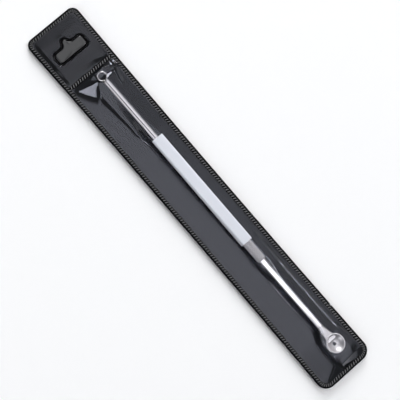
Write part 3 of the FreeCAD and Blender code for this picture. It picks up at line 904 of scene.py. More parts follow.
@dataclass(frozen=True)
class Crease:
    """A soft ridge in the film along a route, with its own spread on each side of it."""

    route: tuple[Spot, ...]
    height: float
    left: float
    right: float
    fade: float = 0.15

    def rise(self, x: Array, y: Array) -> Array:
        """How far the ridge lifts the film: a bell in the distance from it, faded at its ends.

        Args:
            x: Places along X.
            y: Places along Y.

        Returns:
            The lift at each place.
        """
        route = Route(np.array(self.route), closed=False)
        points, marks = route.points, route.marks / route.length
        best, side, where = np.full(x.shape, np.inf), np.zeros(x.shape), np.zeros(x.shape)
        for start, stop, first, last in zip(points, points[1:], marks, marks[1:]):
            left, share = beside(x, y, start, stop)
            share = np.clip(share, 0, 1)
            span = stop - start
            far = np.hypot(x - start[0] - share * span[0], y - start[1] - share * span[1])
            near = far < best
            best = np.where(near, far, best)
            side = np.where(near, left, side)
            where = np.where(near, first + share * (last - first), where)
        spread = np.where(side > 0, self.left, self.right)
        ends = smooth(0, self.fade, where) * smooth(0, self.fade, 1 - where)
        return self.height * np.exp(-((best / spread) ** 2)) * ends


@dataclass
class PouchShape:
    """The pouch's outline and the levels of its sheets."""

    half_length: float
    half_width: float
    back_top: float
    flat_top: float
    tool: ToolPlace
    waist: float = 0.5
    header_corner: float = 3.0
    foot_corner: float = 4.5
    least_corner: float = 0.3
    weld: float = 1.9
    header_depth: float = 24.1
    film: float = 0.25
    travel: Spot = (0.3, 3.0)
    nick_place: float = 23.7
    nick_depth: float = 0.5
    nick_width: float = 0.9
    nick_reach: float = 1.5
    corner_steps: int = 20
    edge_steps: int = 1600
    header_steps: int = 6000
    wall_steps: int = 400

    @classmethod
    def from_frame(cls, tool: ToolPlace) -> PouchShape:
        """Reads the pouch's size from the CAD nodes' boxes."""
        high = node_box("back_sheet")[1]
        return cls(high[0], high[1], high[2], node_box("hang_slot_slug")[1][2], tool)

    def __post_init__(self) -> None:
        """Works out where the cross weld and the nick lie along X."""
        self.cross_weld = self.header_depth - self.half_length
        self.nick_middle = self.half_length - self.nick_place

    def edge(self, inset: float) -> Route:
        """The outline, moved in by an inset: a round-cornered rectangle with its sides drawn in.

        The sides are drawn in by a parabola, deepest at the middle of the pouch.

        Args:
            inset: How far inside the pouch's edge it lies.

        Returns:
            The closed outline, counter-clockwise.
        """
        far, side = self.half_length - inset, self.half_width - inset
        corners = []
        for quarter, (x_sign, y_sign) in enumerate(((1, 1), (-1, 1), (-1, -1), (1, -1))):
            corner = self.foot_corner if x_sign > 0 else self.header_corner
            radius = max(corner - inset, self.least_corner)
            middle = x_sign * (far - radius), y_sign * (side - radius)
            turn = quarter * QUARTER, (quarter + 1) * QUARTER, self.corner_steps
            corners.append(arc(*middle, radius, *turn))
        x, y = Route(np.concatenate(corners), closed=True).even(self.edge_steps).T
        bow = self.waist * (1 - (x / self.half_length) ** 2)
        return Route(stacked(x, y * (1 - bow / self.half_width)), closed=True)

    def half_at(self, x: Array | float, inset: float) -> Array:
        """Half the pouch's width inside an inset, with the sides drawn in and the corners rounded.

        Args:
            x: Places along X.
            inset: How far inside the pouch's edge it is measured.

        Returns:
            The half width at each place.
        """
        side = self.half_width - inset - self.waist * (1 - (x / self.half_length) ** 2)
        corner = np.where(x > 0, self.foot_corner, self.header_corner)
        radius = np.maximum(corner - inset, self.least_corner)
        past = np.clip(np.abs(x) - (self.half_length - inset - radius), 0, radius)
        return side - radius + np.sqrt(radius**2 - past**2)

    def nicked(self, form: Form) -> Form:
        """Presses the small V into the right-hand edge, fading out inside the weld.

        Args:
            form: A form that reaches the edge.

        Returns:
            The form with the nick.
        """
        x, y, z = form.points.T
        off = np.abs(x - self.nick_middle) / (self.nick_width / 2)
        notch = self.nick_depth * np.clip(1 - off, 0, 1)
        inside = self.half_at(x, 0.0) - y
        moved = y - notch * np.clip(1 - inside / self.nick_reach, 0, 1)
        return Form(stacked(x, moved, z), form.faces)

    def header_edge(self, inset: float, end: float) -> Array:
        """The header's outline inside an inset, closed by a straight line across.

        Args:
            inset: How far inside the pouch's edge it lies.
            end: Where the straight line crosses, along X.

        Returns:
            Points of the outline.
        """
        outline = self.edge(inset).even(self.header_steps)
        half = float(self.half_at(end, inset))
        wall = stacked(end, np.linspace(-half, half, self.wall_steps))
        return np.concatenate([outline[outline[:, 0] < end], wall])


class CrownStation(NamedTuple):
    """Where the film runs over the tool.

    It has a place along X, half the width of the film's crown, and the height of the crown's left
    and right edge above the tool's axis.
    """

    place: float
    half: float
    left: float
    right: float


@dataclass
class FilmShape:
    """The clear film's height: low in the header, tented over the tool, creased where it pulls."""

    pouch: PouchShape
    wire_half: float = 2.0
    wire_rise: float = 0.73
    wire_run: float = 3.0
    rod_half: float = 1.0
    rod_rise: float = 1.70
    rod_run: float = 3.8
    grip_half: float = 2.2
    grip_rise: float = 2.30
    grip_swell: Spot = (9.0, 3.0)
    grip_fade: float = 7.0
    spoon_half: float = 4.2
    spoon_left: float = 2.7
    spoon_right: float = 0.75
    spoon_swell: Spot = (16.0, 10.3)
    spoon_flat: float = 2.0
    spoon_tip_half: float = 3.2
    spoon_tip_past: float = 0.4
    crown_blur: float = 0.8
    rise_blur: float = 0.6
    soften: float = 0.45
    soften_taps: int = 5
    knee_places: tuple[float, ...] = (-57.0, -34.0, -28.0, 26.0, 33.0, 45.0, 56.0, 68.0)
    knee_shares: tuple[float, ...] = (0.62, 0.74, 0.9, 0.92, 0.89, 0.84, 0.85, 0.88)
    knee_rounds: tuple[float, ...] = (1.5, 1.0, 0.4, 0.4, 0.5, 0.9, 0.8, 0.5)
    knee_blur: float = 2.0
    knee_level: float = 0.09
    facet_corner: Spot = (-61.4, -9.9)
    facet_ring: Spot = (-58.5, -0.5)
    facet_end: Spot = (-50.5, -5.9)
    facet_rise: float = 2.35
    facet_fall: float = 0.35
    facet_bow: float = 0.0022
    facet_hollow: float = 0.45
    facet_round: float = 0.4
    start_run: float = 0.75
    start_spread: float = 0.35
    foot_run: float = 2.9
    foot_bow_middle: float = 3.5
    foot_bow_half: float = 11.6
    foot_bow_least: float = 0.05
    header_strip: float = 4.6
    header_strip_bow: float = 0.9
    header_rise: float = 0.32
    header_fold: float = 3.5
    header_fold_rise: float = 0.25
    # The fold's corners, as places across the pouch and along it.
    fold_across: tuple[float, ...] = (-9.5, -5.0, -1.3, 4.2, 7.4, 10.0)
    fold_along: tuple[float, ...] = (-70.3, -68.6, -67.3, -66.2, -64.5, -64.3)
    header_soften: float = 0.4
    header_side: float = 1.4
    crease_margin: float = 0.8
    creases: tuple[Crease, ...] = (
        # Right-hand corner of the pocket to the ring.
        Crease(((-62.0, 9.9), (-56.3, 7.6), (-51.3, 6.5)), 0.5, 0.8, 0.5),
        # Long ridge beside the tool.
        Crease(((21.0, 7.6), (45.0, 7.7), (68.6, 8.0), (77.7, 9.3)), 0.45, 0.6, 0.5),
        # Spoon to the foot's corner.
        Crease(((79.3, 0.5), (82.5, -3.0), (85.0, -7.8)), 0.3, 0.6, 0.5),
    )
    # Slot's right-hand end to the pouch's edge.
    header_crease: Crease = Crease(((-72.0, 7.5), (-68.0, 8.6), (-65.0, 10.0)), 0.06, 0.9, 0.7)

    def header_height(self, x: Array, y: Array) -> Array:
        """The film's top in the header.

        It climbs from the end weld over a narrow strip, lies level round the slot, climbs again to
        a fold that runs slantwise across, and falls from there to the cross weld.

        Args:
            x: Places along X.
            y: Places along Y.

        Returns:
            The height at each place.
        """
        shape = self.pouch
        start = shape.weld - shape.half_length
        end = shape.cross_weld - shape.weld / 2
        strip = self.header_strip - self.header_strip_bow * (y / shape.half_width) ** 2
        fold = np.interp(y, self.fold_across, self.fold_along)
        height = np.zeros(x.shape)
        taps = np.linspace(-self.header_soften, self.header_soften, self.soften_taps)
        for place in (x + tap for tap in taps):
            past = place - fold
            climb = self.header_rise * np.clip((place - start) / strip, 0, 1)
            again = self.header_fold_rise * np.clip(past / self.header_fold + 1, 0, 1)
            fall = (self.header_rise + self.header_fold_rise) * np.clip(past / (end - fold), 0, 1)
            height += (climb + again - fall) / len(taps)
        side = smooth(0, self.header_side, shape.half_at(x, shape.weld) - np.abs(y))
        return shape.flat_top + (height + self.header_crease.rise(x, y)) * side

    def stations(self) -> list[CrownStation]:
        """The film's crown along the tool, clear of it over the whole slide.

        Returns:
            The stations from the ring to the spoon.
        """
        tool, (back, ahead) = self.pouch.tool, self.pouch.travel
        tip = tool.middle[0] - tool.half_length - back
        end = tool.middle[0] + tool.half_length + ahead
        strip = node_box("label_strip")[0][0]
        grip_end = node_box("knurled_handle")[1][0] + ahead
        wire = self.wire_half, self.wire_rise, self.wire_rise
        slim = self.rod_half, self.grip_rise, self.grip_rise
        full = self.grip_half, self.grip_rise, self.grip_rise
        edges = self.spoon_left, self.spoon_right
        return [
            CrownStation(tip, *wire),
            CrownStation(tip + self.wire_run, *wire),
            CrownStation(tip + self.rod_run, self.rod_half, self.rod_rise, self.rod_rise),
            CrownStation(strip - self.grip_swell[0], *slim),
            CrownStation(strip - self.grip_swell[1], *full),
            CrownStation(grip_end, *full),
            CrownStation(grip_end + self.grip_fade, *slim),
            CrownStation(end - self.spoon_swell[0], *slim),
            CrownStation(end - self.spoon_swell[1], self.spoon_half, *edges),
            CrownStation(end - self.spoon_flat, self.spoon_half, *edges),
            CrownStation(end + self.spoon_tip_past, self.spoon_tip_half, *edges),
        ]

    def facet(self, x: Array, y: Array) -> Array:
        """Height over the weld of the taut facet at the pocket's left corner.

        The facet hangs between that corner, the ring and a point on the flank. It is level from
        the corner to that point and climbs to the ring. Past its other two sides the film falls to
        the cross weld and towards the tool.

        Args:
            x: Places along X.
            y: Places along Y.

        Returns:
            The height at each place, below 0 away from the facet.
        """
        spots = self.facet_corner, self.facet_ring, self.facet_end
        corner, ring, end = (np.array(spot) for spot in spots)
        rise, hollow = self.facet_rise, self.facet_hollow
        climb = rise * beside(x, y, corner, end)[0] / beside(*ring, corner, end)[0]
        past, share = beside(x, y, ring, end)
        back = rise * (1 - share) - self.facet_fall * past - hollow * share * (1 - share)
        weld = self.pouch.cross_weld + self.pouch.weld / 2
        along = np.clip((y - corner[1]) / (ring[1] - corner[1]), 0, 1)
        ridge = corner[0] + (ring[0] - corner[0]) * along
        front = (rise - hollow * (1 - along)) * along * (x - weld) / (ridge - weld)
        bow = self.facet_bow * ((x - corner[0]) ** 2 + (y - corner[1]) ** 2)
        return np.minimum(np.minimum(climb, back), front) - bow

    def section(self, x: Array, y: Array) -> Array:
        """The tent's height before it is softened.

        The left flank falls steeply to a knee and lies slack from there to the weld. The right
        flank is taut and straight. Between the crown's two edges the film runs straight, and at
        each end it falls to the weld.

        Args:
            x: Places along X.
            y: Places along Y.

        Returns:
            The height at each place.
        """
        shape, tool = self.pouch, self.pouch.tool
        places, halves, lefts, rights = zip(*self.stations())
        half = eased(x, places, halves, self.crown_blur)
        line = tool.line(x)
        weld = shape.half_at(x, shape.weld)
        base = tool.middle[2] - shape.flat_top
        top_left = base + eased(x, places, lefts, self.rise_blur)
        top_right = base + eased(x, places, rights, self.rise_blur)
        left_edge, right_edge = line - half, line + half
        away = np.clip((y + weld) / (left_edge + weld), 0, 1)
        knee = eased(x, self.knee_places, self.knee_shares, self.knee_blur)
        bend = eased(x, self.knee_places, self.knee_rounds, self.knee_blur)
        slack = self.knee_level * away / knee
        steep = self.knee_level + (1 - self.knee_level) * (away - knee) / (1 - knee)
        left = top_left * greater(slack, steep, bend / top_left)
        right = top_right * np.clip((weld - y) / (weld - right_edge), 0, 1)
        over = np.clip((y - left_edge) / (right_edge - left_edge), 0, 1)
        crown = top_left + (top_right - top_left) * over
        tent = np.where(y < left_edge, left, np.where(y > right_edge, right, crown))
        start_run = self.start_run + self.start_spread * np.maximum(np.abs(y - line) - half, 0)
        bow = 1 - ((y - self.foot_bow_middle) / self.foot_bow_half) ** 2
        foot_run = self.foot_run * np.clip(bow, self.foot_bow_least, 1)
        rise_start = (x - shape.cross_weld - shape.weld / 2) / start_run
        rise_end = (shape.half_length - shape.weld - x) / foot_run
        tent = tent * smooth(0, 1, rise_start) * np.clip(rise_end, 0, 1)
        return shape.flat_top + np.maximum(greater(tent, self.facet(x, y), self.facet_round), 0)

    def pocket_height(self, x: Array, y: Array) -> Array:
        """The tent's height, averaged across a short span, with its creases.

        Args:
            x: Places along X.
            y: Places along Y.

        Returns:
            The height at each place.
        """
        weld = self.pouch.half_at(x, self.pouch.weld)
        taps = np.linspace(-self.soften, self.soften, self.soften_taps)
        tent = np.mean([self.section(x, np.clip(y + tap, -weld, weld)) for tap in taps], axis=0)
        near = np.clip((weld - np.abs(y)) / self.crease_margin, 0, 1)
        return tent + sum(crease.rise(x, y) for crease in self.creases) * near


@dataclass
class HangSlot:
    """The hang slot in the header: a bar across the pouch with a round bump towards its end."""

    pouch: PouchShape
    setback: float = 15.5
    length: float = 14.6
    bar: float = 5.8
    corner: float = 1.9
    bump: float = 2.6
    bump_radius: float = 1.7
    flare_radius: float = 1.6
    groove: float = 0.8
    kerf: float = 0.1
    arc_steps: int = 24
    outline_steps: int = 3000
    ring_steps: int = 300

    def __post_init__(self) -> None:
        """Works out the kerf's edges and a point from which the whole outline can be seen."""
        self.kerf_outside = (self.groove - self.kerf) / 2
        self.kerf_inside = (self.groove + self.kerf) / 2
        self.middle = self.setback - self.bar / 2 - self.pouch.half_length

    def outline(self, inset: float) -> Array:
        """Even points of the slot's outline, moved in by an inset, from arcs in order.

        Args:
            inset: How far inside the slot's own edge it lies.

        Returns:
            The outline's points, counter-clockwise.
        """
        straight = self.setback - self.pouch.half_length - inset
        shoulder = self.setback - self.bar - self.pouch.half_length + inset
        corner = self.corner - inset
        side = self.length / 2 - inset - corner
        tip, flare = self.bump_radius - inset, self.flare_radius + inset
        reach = tip + flare
        lean = math.asin((reach - self.bump) / reach)
        spread = reach * math.cos(lean)
        arcs = (
            (straight - corner, side, corner, 0, QUARTER),
            (shoulder + corner, side, corner, QUARTER, math.pi),
            (shoulder - flare, spread, flare, 0, lean - QUARTER),
            (shoulder - self.bump + tip, 0, tip, QUARTER + lean, 3 * QUARTER - lean),
            (shoulder - flare, -spread, flare, QUARTER - lean, 0),
            (shoulder + corner, -side, corner, math.pi, 3 * QUARTER),
            (straight - corner, -side, corner, 3 * QUARTER, 4 * QUARTER),
        )
        points = np.concatenate([arc(*numbers, self.arc_steps) for numbers in arcs])
        return Route(points, closed=True).even(self.outline_steps)

    def polar(self, points: Array) -> tuple[Array, Array]:
        """Angle round the slot's middle and distance from it of each point, by rising angle.

        Args:
            points: Points in X and Y.

        Returns:
            The angles and the distances.
        """
        x, y = points.T
        around = np.mod(np.arctan2(y, x - self.middle), 2 * math.pi)
        order = np.argsort(around)
        return around[order], np.hypot(x - self.middle, y)[order]

    def rays(self, points: Array, angle: Array) -> Array:
        """An outline's distance from the slot's middle at each angle, as a column."""
        return np.interp(angle, *self.polar(points), period=2 * math.pi)[:, None]

    def spot(self, angle: Array, far: Array) -> tuple[Array, Array]:
        """Places at each angle's row of distances from the slot's middle, as X and Y."""
        return self.middle + far * np.cos(angle)[:, None], far * np.sin(angle)[:, None]

    def angles(self, count: int) -> Array:
        """Angles round the middle that step evenly along the slot's outline."""
        return self.polar(Route(self.outline(0.0), closed=True).even(count))[0]

    def flat_ring(self, inner: Array, outer: Array, low: float, top: float) -> Form:
        """A flat ring round the slot's middle.

        Args:
            inner: Points of its inner outline.
            outer: Points of its outer outline.
            low: Height of its underside.
            top: Height of its top.

        Returns:
            The closed ring.
        """
        angle = self.angles(self.ring_steps)
        far = np.concatenate([self.rays(inner, angle), self.rays(outer, angle)], axis=1)
        return slab(*self.spot(angle, far), top, low, ring=True)


@dataclass
class Pouch:
    """The welded pouch: back sheet, film, ladder weld, slot slug and strip.

    Pieces that meet overlap a little, or stop a little short, by the sizes named overlap and tuck.
    """

    shape: PouchShape
    film: FilmShape
    slot: HangSlot
    overlap: float = 0.1
    tuck: float = 0.05
    sink: float = 0.02
    pocket_grid: tuple[int, int] = (430, 90)
    pocket_crowding: float = 0.5
    header_grid: tuple[int, int] = (420, 44)
    header_crowding: float = 1.6
    header_dip: float = 0.5
    header_dip_reach: float = 0.12
    bead_width: float = 0.5
    bead_top: float = 0.6
    groove_top: float = 0.4
    slot_groove_rise: float = 0.03
    rung_pitch: float = 1.1
    pad_length: float = 0.44
    pad_taper: float = 0.2
    pad_lean: float = 0.45
    pad_shoulder: float = 0.86
    pad_end_share: float = 0.3
    pad_top: float = 0.6
    pad_gap: float = 0.08
    cross_pad_gap: float = 0.25
    cross_bed_reach: float = 0.2
    lip: float = 0.04
    lip_spread: float = 0.7
    slug_rings: int = 26
    slug_rise: float = 0.06
    slug_dip: float = 0.2
    slug_dip_reach: float = 0.1
    strip_thickness: float = 0.08
    strip_gap: float = 0.01
    strip_grid: tuple[int, int] = (120, 24)
    back_grid: tuple[int, int] = (300, 40)
    nick_steps: int = 9
    foot_steps: int = 30
    bead_steps: int = 9
    bed_steps: int = 2600

    def pocket_form(self) -> Form:
        """The film over the pocket: its height on a grid, and the same surface one film lower.

        Returns:
            The film, with rows closer together towards its two ends.
        """
        shape, (rows, columns) = self.shape, self.pocket_grid
        start = shape.cross_weld + shape.weld / 2 - self.overlap
        end = shape.half_length - shape.weld + self.overlap
        turn = np.linspace(0, 2 * math.pi, rows)
        share = (turn - self.pocket_crowding * np.sin(turn)) / (2 * math.pi)
        x = (start + (end - start) * share)[:, None]
        y = np.linspace(-1, 1, columns) * shape.half_at(x, shape.weld - self.tuck)
        x, y = np.broadcast_arrays(x, y)
        top = self.film.pocket_height(x, y)
        return slab(x, y, top, np.maximum(top - shape.film, shape.back_top))

    def lipped(self, gap: Array) -> Array:
        """Lift of the low lip that runs along the slot's groove: a bell in the gap from it."""
        return self.lip * np.exp(-(((gap - self.lip_spread) / self.lip_spread) ** 2))

    def header_form(self) -> Form:
        """The film in the header: a ring from the slot's edge out to the welds, lipped at the slot.

        Returns:
            The film down to the back sheet.
        """
        shape, slot, (steps, rings) = self.shape, self.slot, self.header_grid
        angle = slot.angles(steps)
        inner = slot.rays(slot.outline(0.0), angle)
        limit = shape.cross_weld - shape.weld / 2 + self.overlap
        outer = slot.rays(shape.header_edge(shape.weld - self.overlap, limit), angle)
        gap = (outer - inner) * np.linspace(0, 1, rings) ** self.header_crowding
        x, y = slot.spot(angle, inner + gap)
        top = self.film.header_height(x, y) + self.lipped(gap)
        dip = self.header_dip * np.exp(-gap / self.header_dip_reach)
        return slab(x, y, top - (top - shape.back_top) * dip, shape.back_top, ring=True)

    def slug_form(self) -> Form:
        """The slug: film inside the groove, over a back that reaches out to the kerf.

        Returns:
            The slug.
        """
        shape, slot = self.shape, self.slot
        angle = slot.angles(slot.ring_steps)
        edge = slot.rays(slot.outline(slot.groove), angle)
        base = slot.rays(slot.outline(slot.kerf_inside), angle)
        far = edge * np.linspace(0, 1, self.slug_rings)
        gap = edge - far
        dip = self.slug_dip * np.exp(-gap / self.slug_dip_reach)
        top = shape.flat_top + self.slug_rise + self.lipped(gap) - dip
        far = np.concatenate([far, edge, base, base, np.zeros_like(base)], axis=1)
        foot = np.broadcast_to([shape.back_top, shape.back_top, 0.0, 0.0], (len(angle), 4))
        height = np.concatenate([top, foot], axis=1)
        return swept(stacked(*slot.spot(angle, far), height), ring=True)

    def groove_form(self) -> Form:
        """The slot's pressed groove: a strip on each side of the kerf, sunk below the film.

        Returns:
            Both strips.
        """
        slot, back = self.slot, self.shape.back_top
        levels = back - self.sink, back + self.slot_groove_rise
        insets = (slot.kerf_outside, 0.0), (slot.groove, slot.kerf_inside)
        return joined([slot.flat_ring(*map(slot.outline, pair), *levels) for pair in insets])

    def back_form(self) -> Form:
        """The back sheet: a flat ring round the slot's cut, and a flat sheet for the rest.

        Returns:
            Both, end to end.
        """
        shape, slot, (rows, columns) = self.shape, self.slot, self.back_grid
        edge = shape.header_edge(0.0, shape.cross_weld)
        cut = slot.outline(slot.kerf_outside)
        header = slot.flat_ring(cut, edge, 0.0, shape.back_top)
        even = np.linspace(shape.cross_weld, shape.half_length - shape.foot_corner, rows)
        near_nick = shape.nick_middle + np.linspace(-1, 1, self.nick_steps) * shape.nick_width / 2
        turn = np.linspace(0, QUARTER, self.foot_steps)
        near_foot = shape.half_length - shape.foot_corner * (1 - np.sin(turn))
        x = np.unique(np.concatenate([even, near_nick, near_foot]))[:, None]
        y = np.linspace(-1, 1, columns) * shape.half_at(x, 0.0)
        return joined([header, slab(x, y, shape.back_top, 0.0)])

    def bed_form(self) -> Form:
        """The weld's black bed: an outer bead and a sunk strip inside it, and the one across.

        Returns:
            Both beds.
        """
        shape, low = self.shape, self.groove_top
        route, floor = shape.edge(0.0), shape.back_top - self.sink
        bow = np.linspace(0, math.pi, self.bead_steps)
        out = self.bead_width / 2 * (1 - np.cos(bow))
        bead = stacked(out, low + (self.bead_top - low) * np.sin(bow))
        inside = [[shape.weld - self.overlap, low], [shape.weld + self.tuck, floor]]
        section = np.concatenate([[[0.0, floor]], bead, inside])
        along = np.linspace(0, route.length, self.bed_steps, endpoint=False)
        border = route.carry(along, section)
        half = float(shape.half_at(shape.cross_weld, shape.weld - self.cross_bed_reach))
        wide = shape.weld / 2
        across = np.array([-wide, self.overlap - wide, wide - self.overlap, wide])
        ends = np.array([[-half], [half]])
        cross = swept(stacked(shape.cross_weld + across, ends, [floor, low, low, floor]))
        return joined([border, cross])

    def pads(self, route: Route, near: float, far: float) -> Form:
        """The ladder's raised pads: low pillows between the rungs, leaning along the weld.

        Args:
            route: The weld's line.
            near: Where a pad starts, to the left of that line.
            far: Where it ends.

        Returns:
            All the pads of that weld.
        """
        count = round(route.length / self.rung_pitch)
        middle = (np.arange(count) + 0.5) * route.length / count
        wide = np.array([-1, -self.pad_shoulder, self.pad_shoulder, 1])
        end = self.pad_end_share
        level = np.outer([end, 1, 1, end], [0, 1, 1, 0])
        off = wide * (far - near) / 2
        half_long = self.pad_length / 2 * (1 - self.pad_taper * wide)
        along = middle[:, None, None] + half_long * wide[:, None] + self.pad_lean * off
        spot = route.at(along) + route.left(along) * ((near + far) / 2 + off)[:, None]
        low = self.groove_top - self.sink
        points = stacked(spot[..., 0], spot[..., 1], low + (self.pad_top - low) * level)
        starts = np.arange(count) * level.size
        faces = swept(points[0]).faces[None] + starts[:, None, None]
        return Form(points.reshape(-1, 3), faces.reshape(-1, 4))

    def pad_forms(self) -> Form:
        """The ladder round the pouch's edge and the one across under the header.

        Returns:
            All the pads.
        """
        shape = self.shape
        start, reach = self.bead_width + self.pad_gap, shape.weld / 2 - self.cross_pad_gap
        border = self.pads(shape.edge(0.0), start, shape.weld - self.tuck)
        half = float(shape.half_at(shape.cross_weld, shape.weld))
        line = stacked(shape.cross_weld, np.array([half, -half]))
        return joined([border, self.pads(Route(line, closed=False), -reach, reach)])

    def strip_form(self) -> Form:
        """The white strip: the film's own surface between the strip's edges, a little higher.

        Returns:
            The strip.
        """
        low, high = node_box("label_strip")
        rows, columns = self.strip_grid
        x = np.linspace(low[0], high[0], rows)[:, None]
        x, y = np.broadcast_arrays(x, np.linspace(low[1], high[1], columns))
        base = self.film.pocket_height(x, y)
        return slab(x, y, base + self.strip_thickness, base + self.strip_gap)

    def build(self) -> None:
        """Makes the pouch's pieces with their finishes."""
        film, ink = ClearVinyl().material(), WhiteInk().material()
        # The open back is dull and grained, so that only the film over it shines.
        back = BlackVinyl(
            "black_grained_vinyl", "#0a0a0b", roughness=0.5, specular=0.1, grain_depth_mm=0.01
        ).material()
        # The weld's bed is pressed matt, and its black is painted darker than the sheet's:
        # painted shade for the pressed grooves, so that it reads as the darkest line.
        bed = BlackVinyl(
            "black_pressed_vinyl_painted_shade", "#040405", roughness=0.75, specular=0.05
        ).material()
        # The slug is smooth film on black, with a soft even shine.
        pressed = BlackVinyl(
            "black_vinyl_under_film",
            "#0b0b0d",
            roughness=0.12,
            specular=0.45,
            coat=0.3,
            grain_mm=2.0,
        ).material()
        # The pads are film melted into vinyl, glossy enough to stand out from their bed. Their
        # black is painted a little lighter than the sheet's, as a painted reflection of the film
        # over them.
        fused = BlackVinyl(
            "film_fused_to_vinyl_painted_reflection", "#141417", roughness=0.2, specular=0.8, coat=0.6, grain_mm=2.0
        ).material()
        nicked = self.shape.nicked
        for name, form, slot, finish, node, sharp in (
            ("film_pocket", self.pocket_form(), Slot.FILM, film, "front_film", 60.0),
            ("film_header", self.header_form(), Slot.FILM, film, "", 60.0),
            ("weld_bed", nicked(self.bed_form()), Slot.BACK, bed, "", 50.0),
            ("weld_pads", nicked(self.pad_forms()), Slot.SLUG, fused, "", 20.0),
            ("slot_slug", self.slug_form(), Slot.SLUG, pressed, "hang_slot_slug", 60.0),
            ("slot_groove", self.groove_form(), Slot.BACK, bed, "", 35.0),
            ("back_panel", nicked(self.back_form()), Slot.BACK, back, "back_sheet", 35.0),
            ("white_band", self.strip_form(), Slot.STRIP, ink, "label_strip", 35.0),
        ):
            make_piece(name, form, Body.POUCH, slot, finish, node, sharp)


# Studio


@dataclass(frozen=True)
class Window:
    """A soft window of light in the studio's dome.

    It stands towards a direction, spreads along each axis of the direction's unit vector, and adds
    its strength to the dome.
    """

    towards: Vector
    spread: Vector
    strength: float


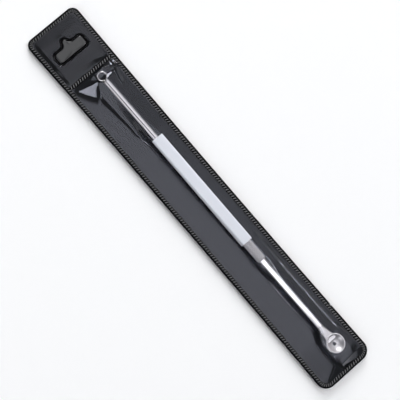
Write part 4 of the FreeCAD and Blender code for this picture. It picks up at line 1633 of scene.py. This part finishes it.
@dataclass
class Studio:
    """Floor, dome, key lamp and camera."""

    floor_colour: str = "#ffffff"
    floor_size_m: float = 6.0
    floor_drop_mm: float = 1.2
    dome_colour: str = "#fbfcff"
    dome_strength: float = 0.12
    horizon_strength: float = 0.3
    horizon_edge: Spot = (0.16, 0.04)
    window_edge: Spot = (1.25, 0.75)
    windows: tuple[Window, ...] = (
        # Overhead to the far side: lies in the flat film and the steel's upper half.
        Window((0.0, 0.37, 0.929), (0.4, 0.42, 1.0), 1.75),
        # Far side: lies in the film's right flank and the steel's upper edge.
        Window((0.0, 0.9, 0.43), (0.3, 0.25, 0.5), 0.75),
        # Fill on the near side: lies in the steel's lower edge, past a thin dark line.
        Window((0.0, -0.83, 0.56), (0.3, 0.22, 0.6), 1.7),
        # Small one on the near side: lies in the facet at the pocket's corner.
        Window((0.087, -0.404, 0.91), (0.075, 0.08, 0.08), 7.0),
        # Small one beside it: lies in the streak along the film's knee.
        Window((0.095, -0.64, 0.76), (0.035, 0.1, 0.1), 9.0),
        # Narrow strip on the far side: lies in the long ridge beside the tool.
        Window((0.12, 0.375, 0.919), (0.08, 0.06, 0.07), 18.0),
    )
    key_towards: Vector = (-0.703, 0.605, 0.375)
    key_distance_m: float = 2.2
    key_size_m: float = 1.0
    key_watts: float = 42.0
    camera_distance_m: float = 0.5
    camera_tilt_degrees: float = 8.0
    image_turn: Spot = (0.6524, 0.7579)
    image_width_mm: float = 151.8
    aim_mm: Vector = (0.75, -0.16, 1.0)
    sensor_mm: float = 36.0

    def floor(self) -> None:
        """A wide pale floor under the pouch."""
        mesh = bpy.data.meshes.new("floor")
        half, low = self.floor_size_m / 2, -self.floor_drop_mm * MM
        signs = ((-1, -1), (1, -1), (1, 1), (-1, 1))
        mesh.from_pydata([(x * half, y * half, low) for x, y in signs], [], [(0, 1, 2, 3)])
        material = bpy.data.materials.new("pale_floor")
        tree = cleared(material)
        paint = add_node(tree, "BsdfDiffuse", {"Color": linear(self.floor_colour)})
        add_node(tree, "OutputMaterial", None, {"Surface": paint.outputs[0]})
        mesh.materials.append(material)
        placed("floor", mesh)

    def dome(self) -> None:
        """An even dome with a paler horizon and soft windows in it.

        A window's glow falls with the length of the offset from its direction, each axis divided
        by its spread.
        """
        world = bpy.data.worlds.new("studio_dome")
        bpy.context.scene.world = world
        tree = cleared(world)
        ray = add_node(tree, "TexCoord").outputs["Generated"]
        height = add_node(tree, "SeparateXYZ", None, {0: ray}).outputs["Z"]
        ends = "From Min", "From Max", "To Min", "To Max"
        soft = {"interpolation_type": "SMOOTHSTEP"}
        levels = self.dome_strength, self.dome_strength + self.horizon_strength
        rise = dict(zip(ends, self.horizon_edge + levels))
        total = add_node(tree, "MapRange", rise, {"Value": height}, **soft).outputs[0]
        for window in self.windows:
            towards = tuple(np.array(window.towards) / np.linalg.norm(window.towards))
            off = add_node(tree, "VectorMath", {1: towards}, {0: ray}, operation="SUBTRACT")
            step, spread = {0: off.outputs[0]}, {1: window.spread}
            share = add_node(tree, "VectorMath", spread, step, operation="DIVIDE")
            far = add_node(tree, "VectorMath", None, {0: share.outputs[0]}, operation="LENGTH")
            fall = dict(zip(ends, self.window_edge + (0.0, window.strength)))
            glow = add_node(tree, "MapRange", fall, {"Value": far.outputs["Value"]}, **soft)
            total = add_node(tree, "Math", None, {0: total, 1: glow.outputs[0]}).outputs[0]
        colour = linear(self.dome_colour)
        light = add_node(tree, "Background", {"Color": colour}, {"Strength": total})
        add_node(tree, "OutputWorld", None, {"Surface": light.outputs[0]})

    def key(self) -> None:
        """A broad soft lamp that faces the pouch from its far side."""
        data = bpy.data.lights.new("key_lamp", "AREA")
        data.shape = "RECTANGLE"
        data.size = data.size_y = self.key_size_m
        data.energy = self.key_watts
        away = np.array(self.key_towards) / np.linalg.norm(self.key_towards)
        lamp = placed("key_lamp", data)
        lamp.matrix_world = facing(away, np.array([1.0, 0.0, 0.0]), away * self.key_distance_m)

    def camera(self) -> None:
        """A camera above the pouch, leaning to its near side, with the pouch drawn slantwise."""
        tilt = math.radians(self.camera_tilt_degrees)
        away = np.array([0.0, -math.sin(tilt), math.cos(tilt)])
        level = np.array([0.0, math.cos(tilt), math.sin(tilt)])
        right = self.image_turn[0] * np.array([1.0, 0.0, 0.0]) + self.image_turn[1] * level
        data = bpy.data.cameras.new("camera")
        data.sensor_width = self.sensor_mm
        data.lens = self.sensor_mm * self.camera_distance_m / (self.image_width_mm * MM)
        camera = placed("camera", data)
        stand = np.array(self.aim_mm) * MM + away * self.camera_distance_m
        camera.matrix_world = facing(away, right, stand)
        bpy.context.scene.camera = camera

    def build(self) -> None:
        """Sets up the whole studio."""
        bpy.context.scene.view_settings.view_transform = "Standard"
        self.floor()
        self.dome()
        self.key()
        self.camera()


def facing(away: Array, right: Array, place: Array) -> Matrix:
    """A place and turn whose Z axis points away from what it faces.

    Args:
        away: Unit vector from the thing faced to the object.
        right: The object's X axis, made square to that vector.
        place: Where the object stands, in metres.

    Returns:
        The object's matrix.
    """
    right = right - away * (right @ away)
    right = right / np.linalg.norm(right)
    turn = np.eye(4)
    turn[:3] = stacked(right, np.cross(away, right), away, place)
    return Matrix(turn.tolist())


def main() -> None:
    """Builds the pouch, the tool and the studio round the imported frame."""
    logging.basicConfig(level=logging.INFO, format="%(name)s: %(message)s")
    for leftover in list(bpy.data.objects):
        bpy.data.objects.remove(leftover)
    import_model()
    tool = ToolPlace.from_frame()
    shape = PouchShape.from_frame(tool)
    Pouch(shape, FilmShape(shape), HangSlot(shape)).build()
    polished = Stainless("polished_stainless", roughness=0.06).material()
    LoopEnd(tool).build(polished)
    SpoonEnd(tool).build(polished)
    KnurledGrip(tool).build()
    Studio().build()


if __name__ == "__main__":
    main()
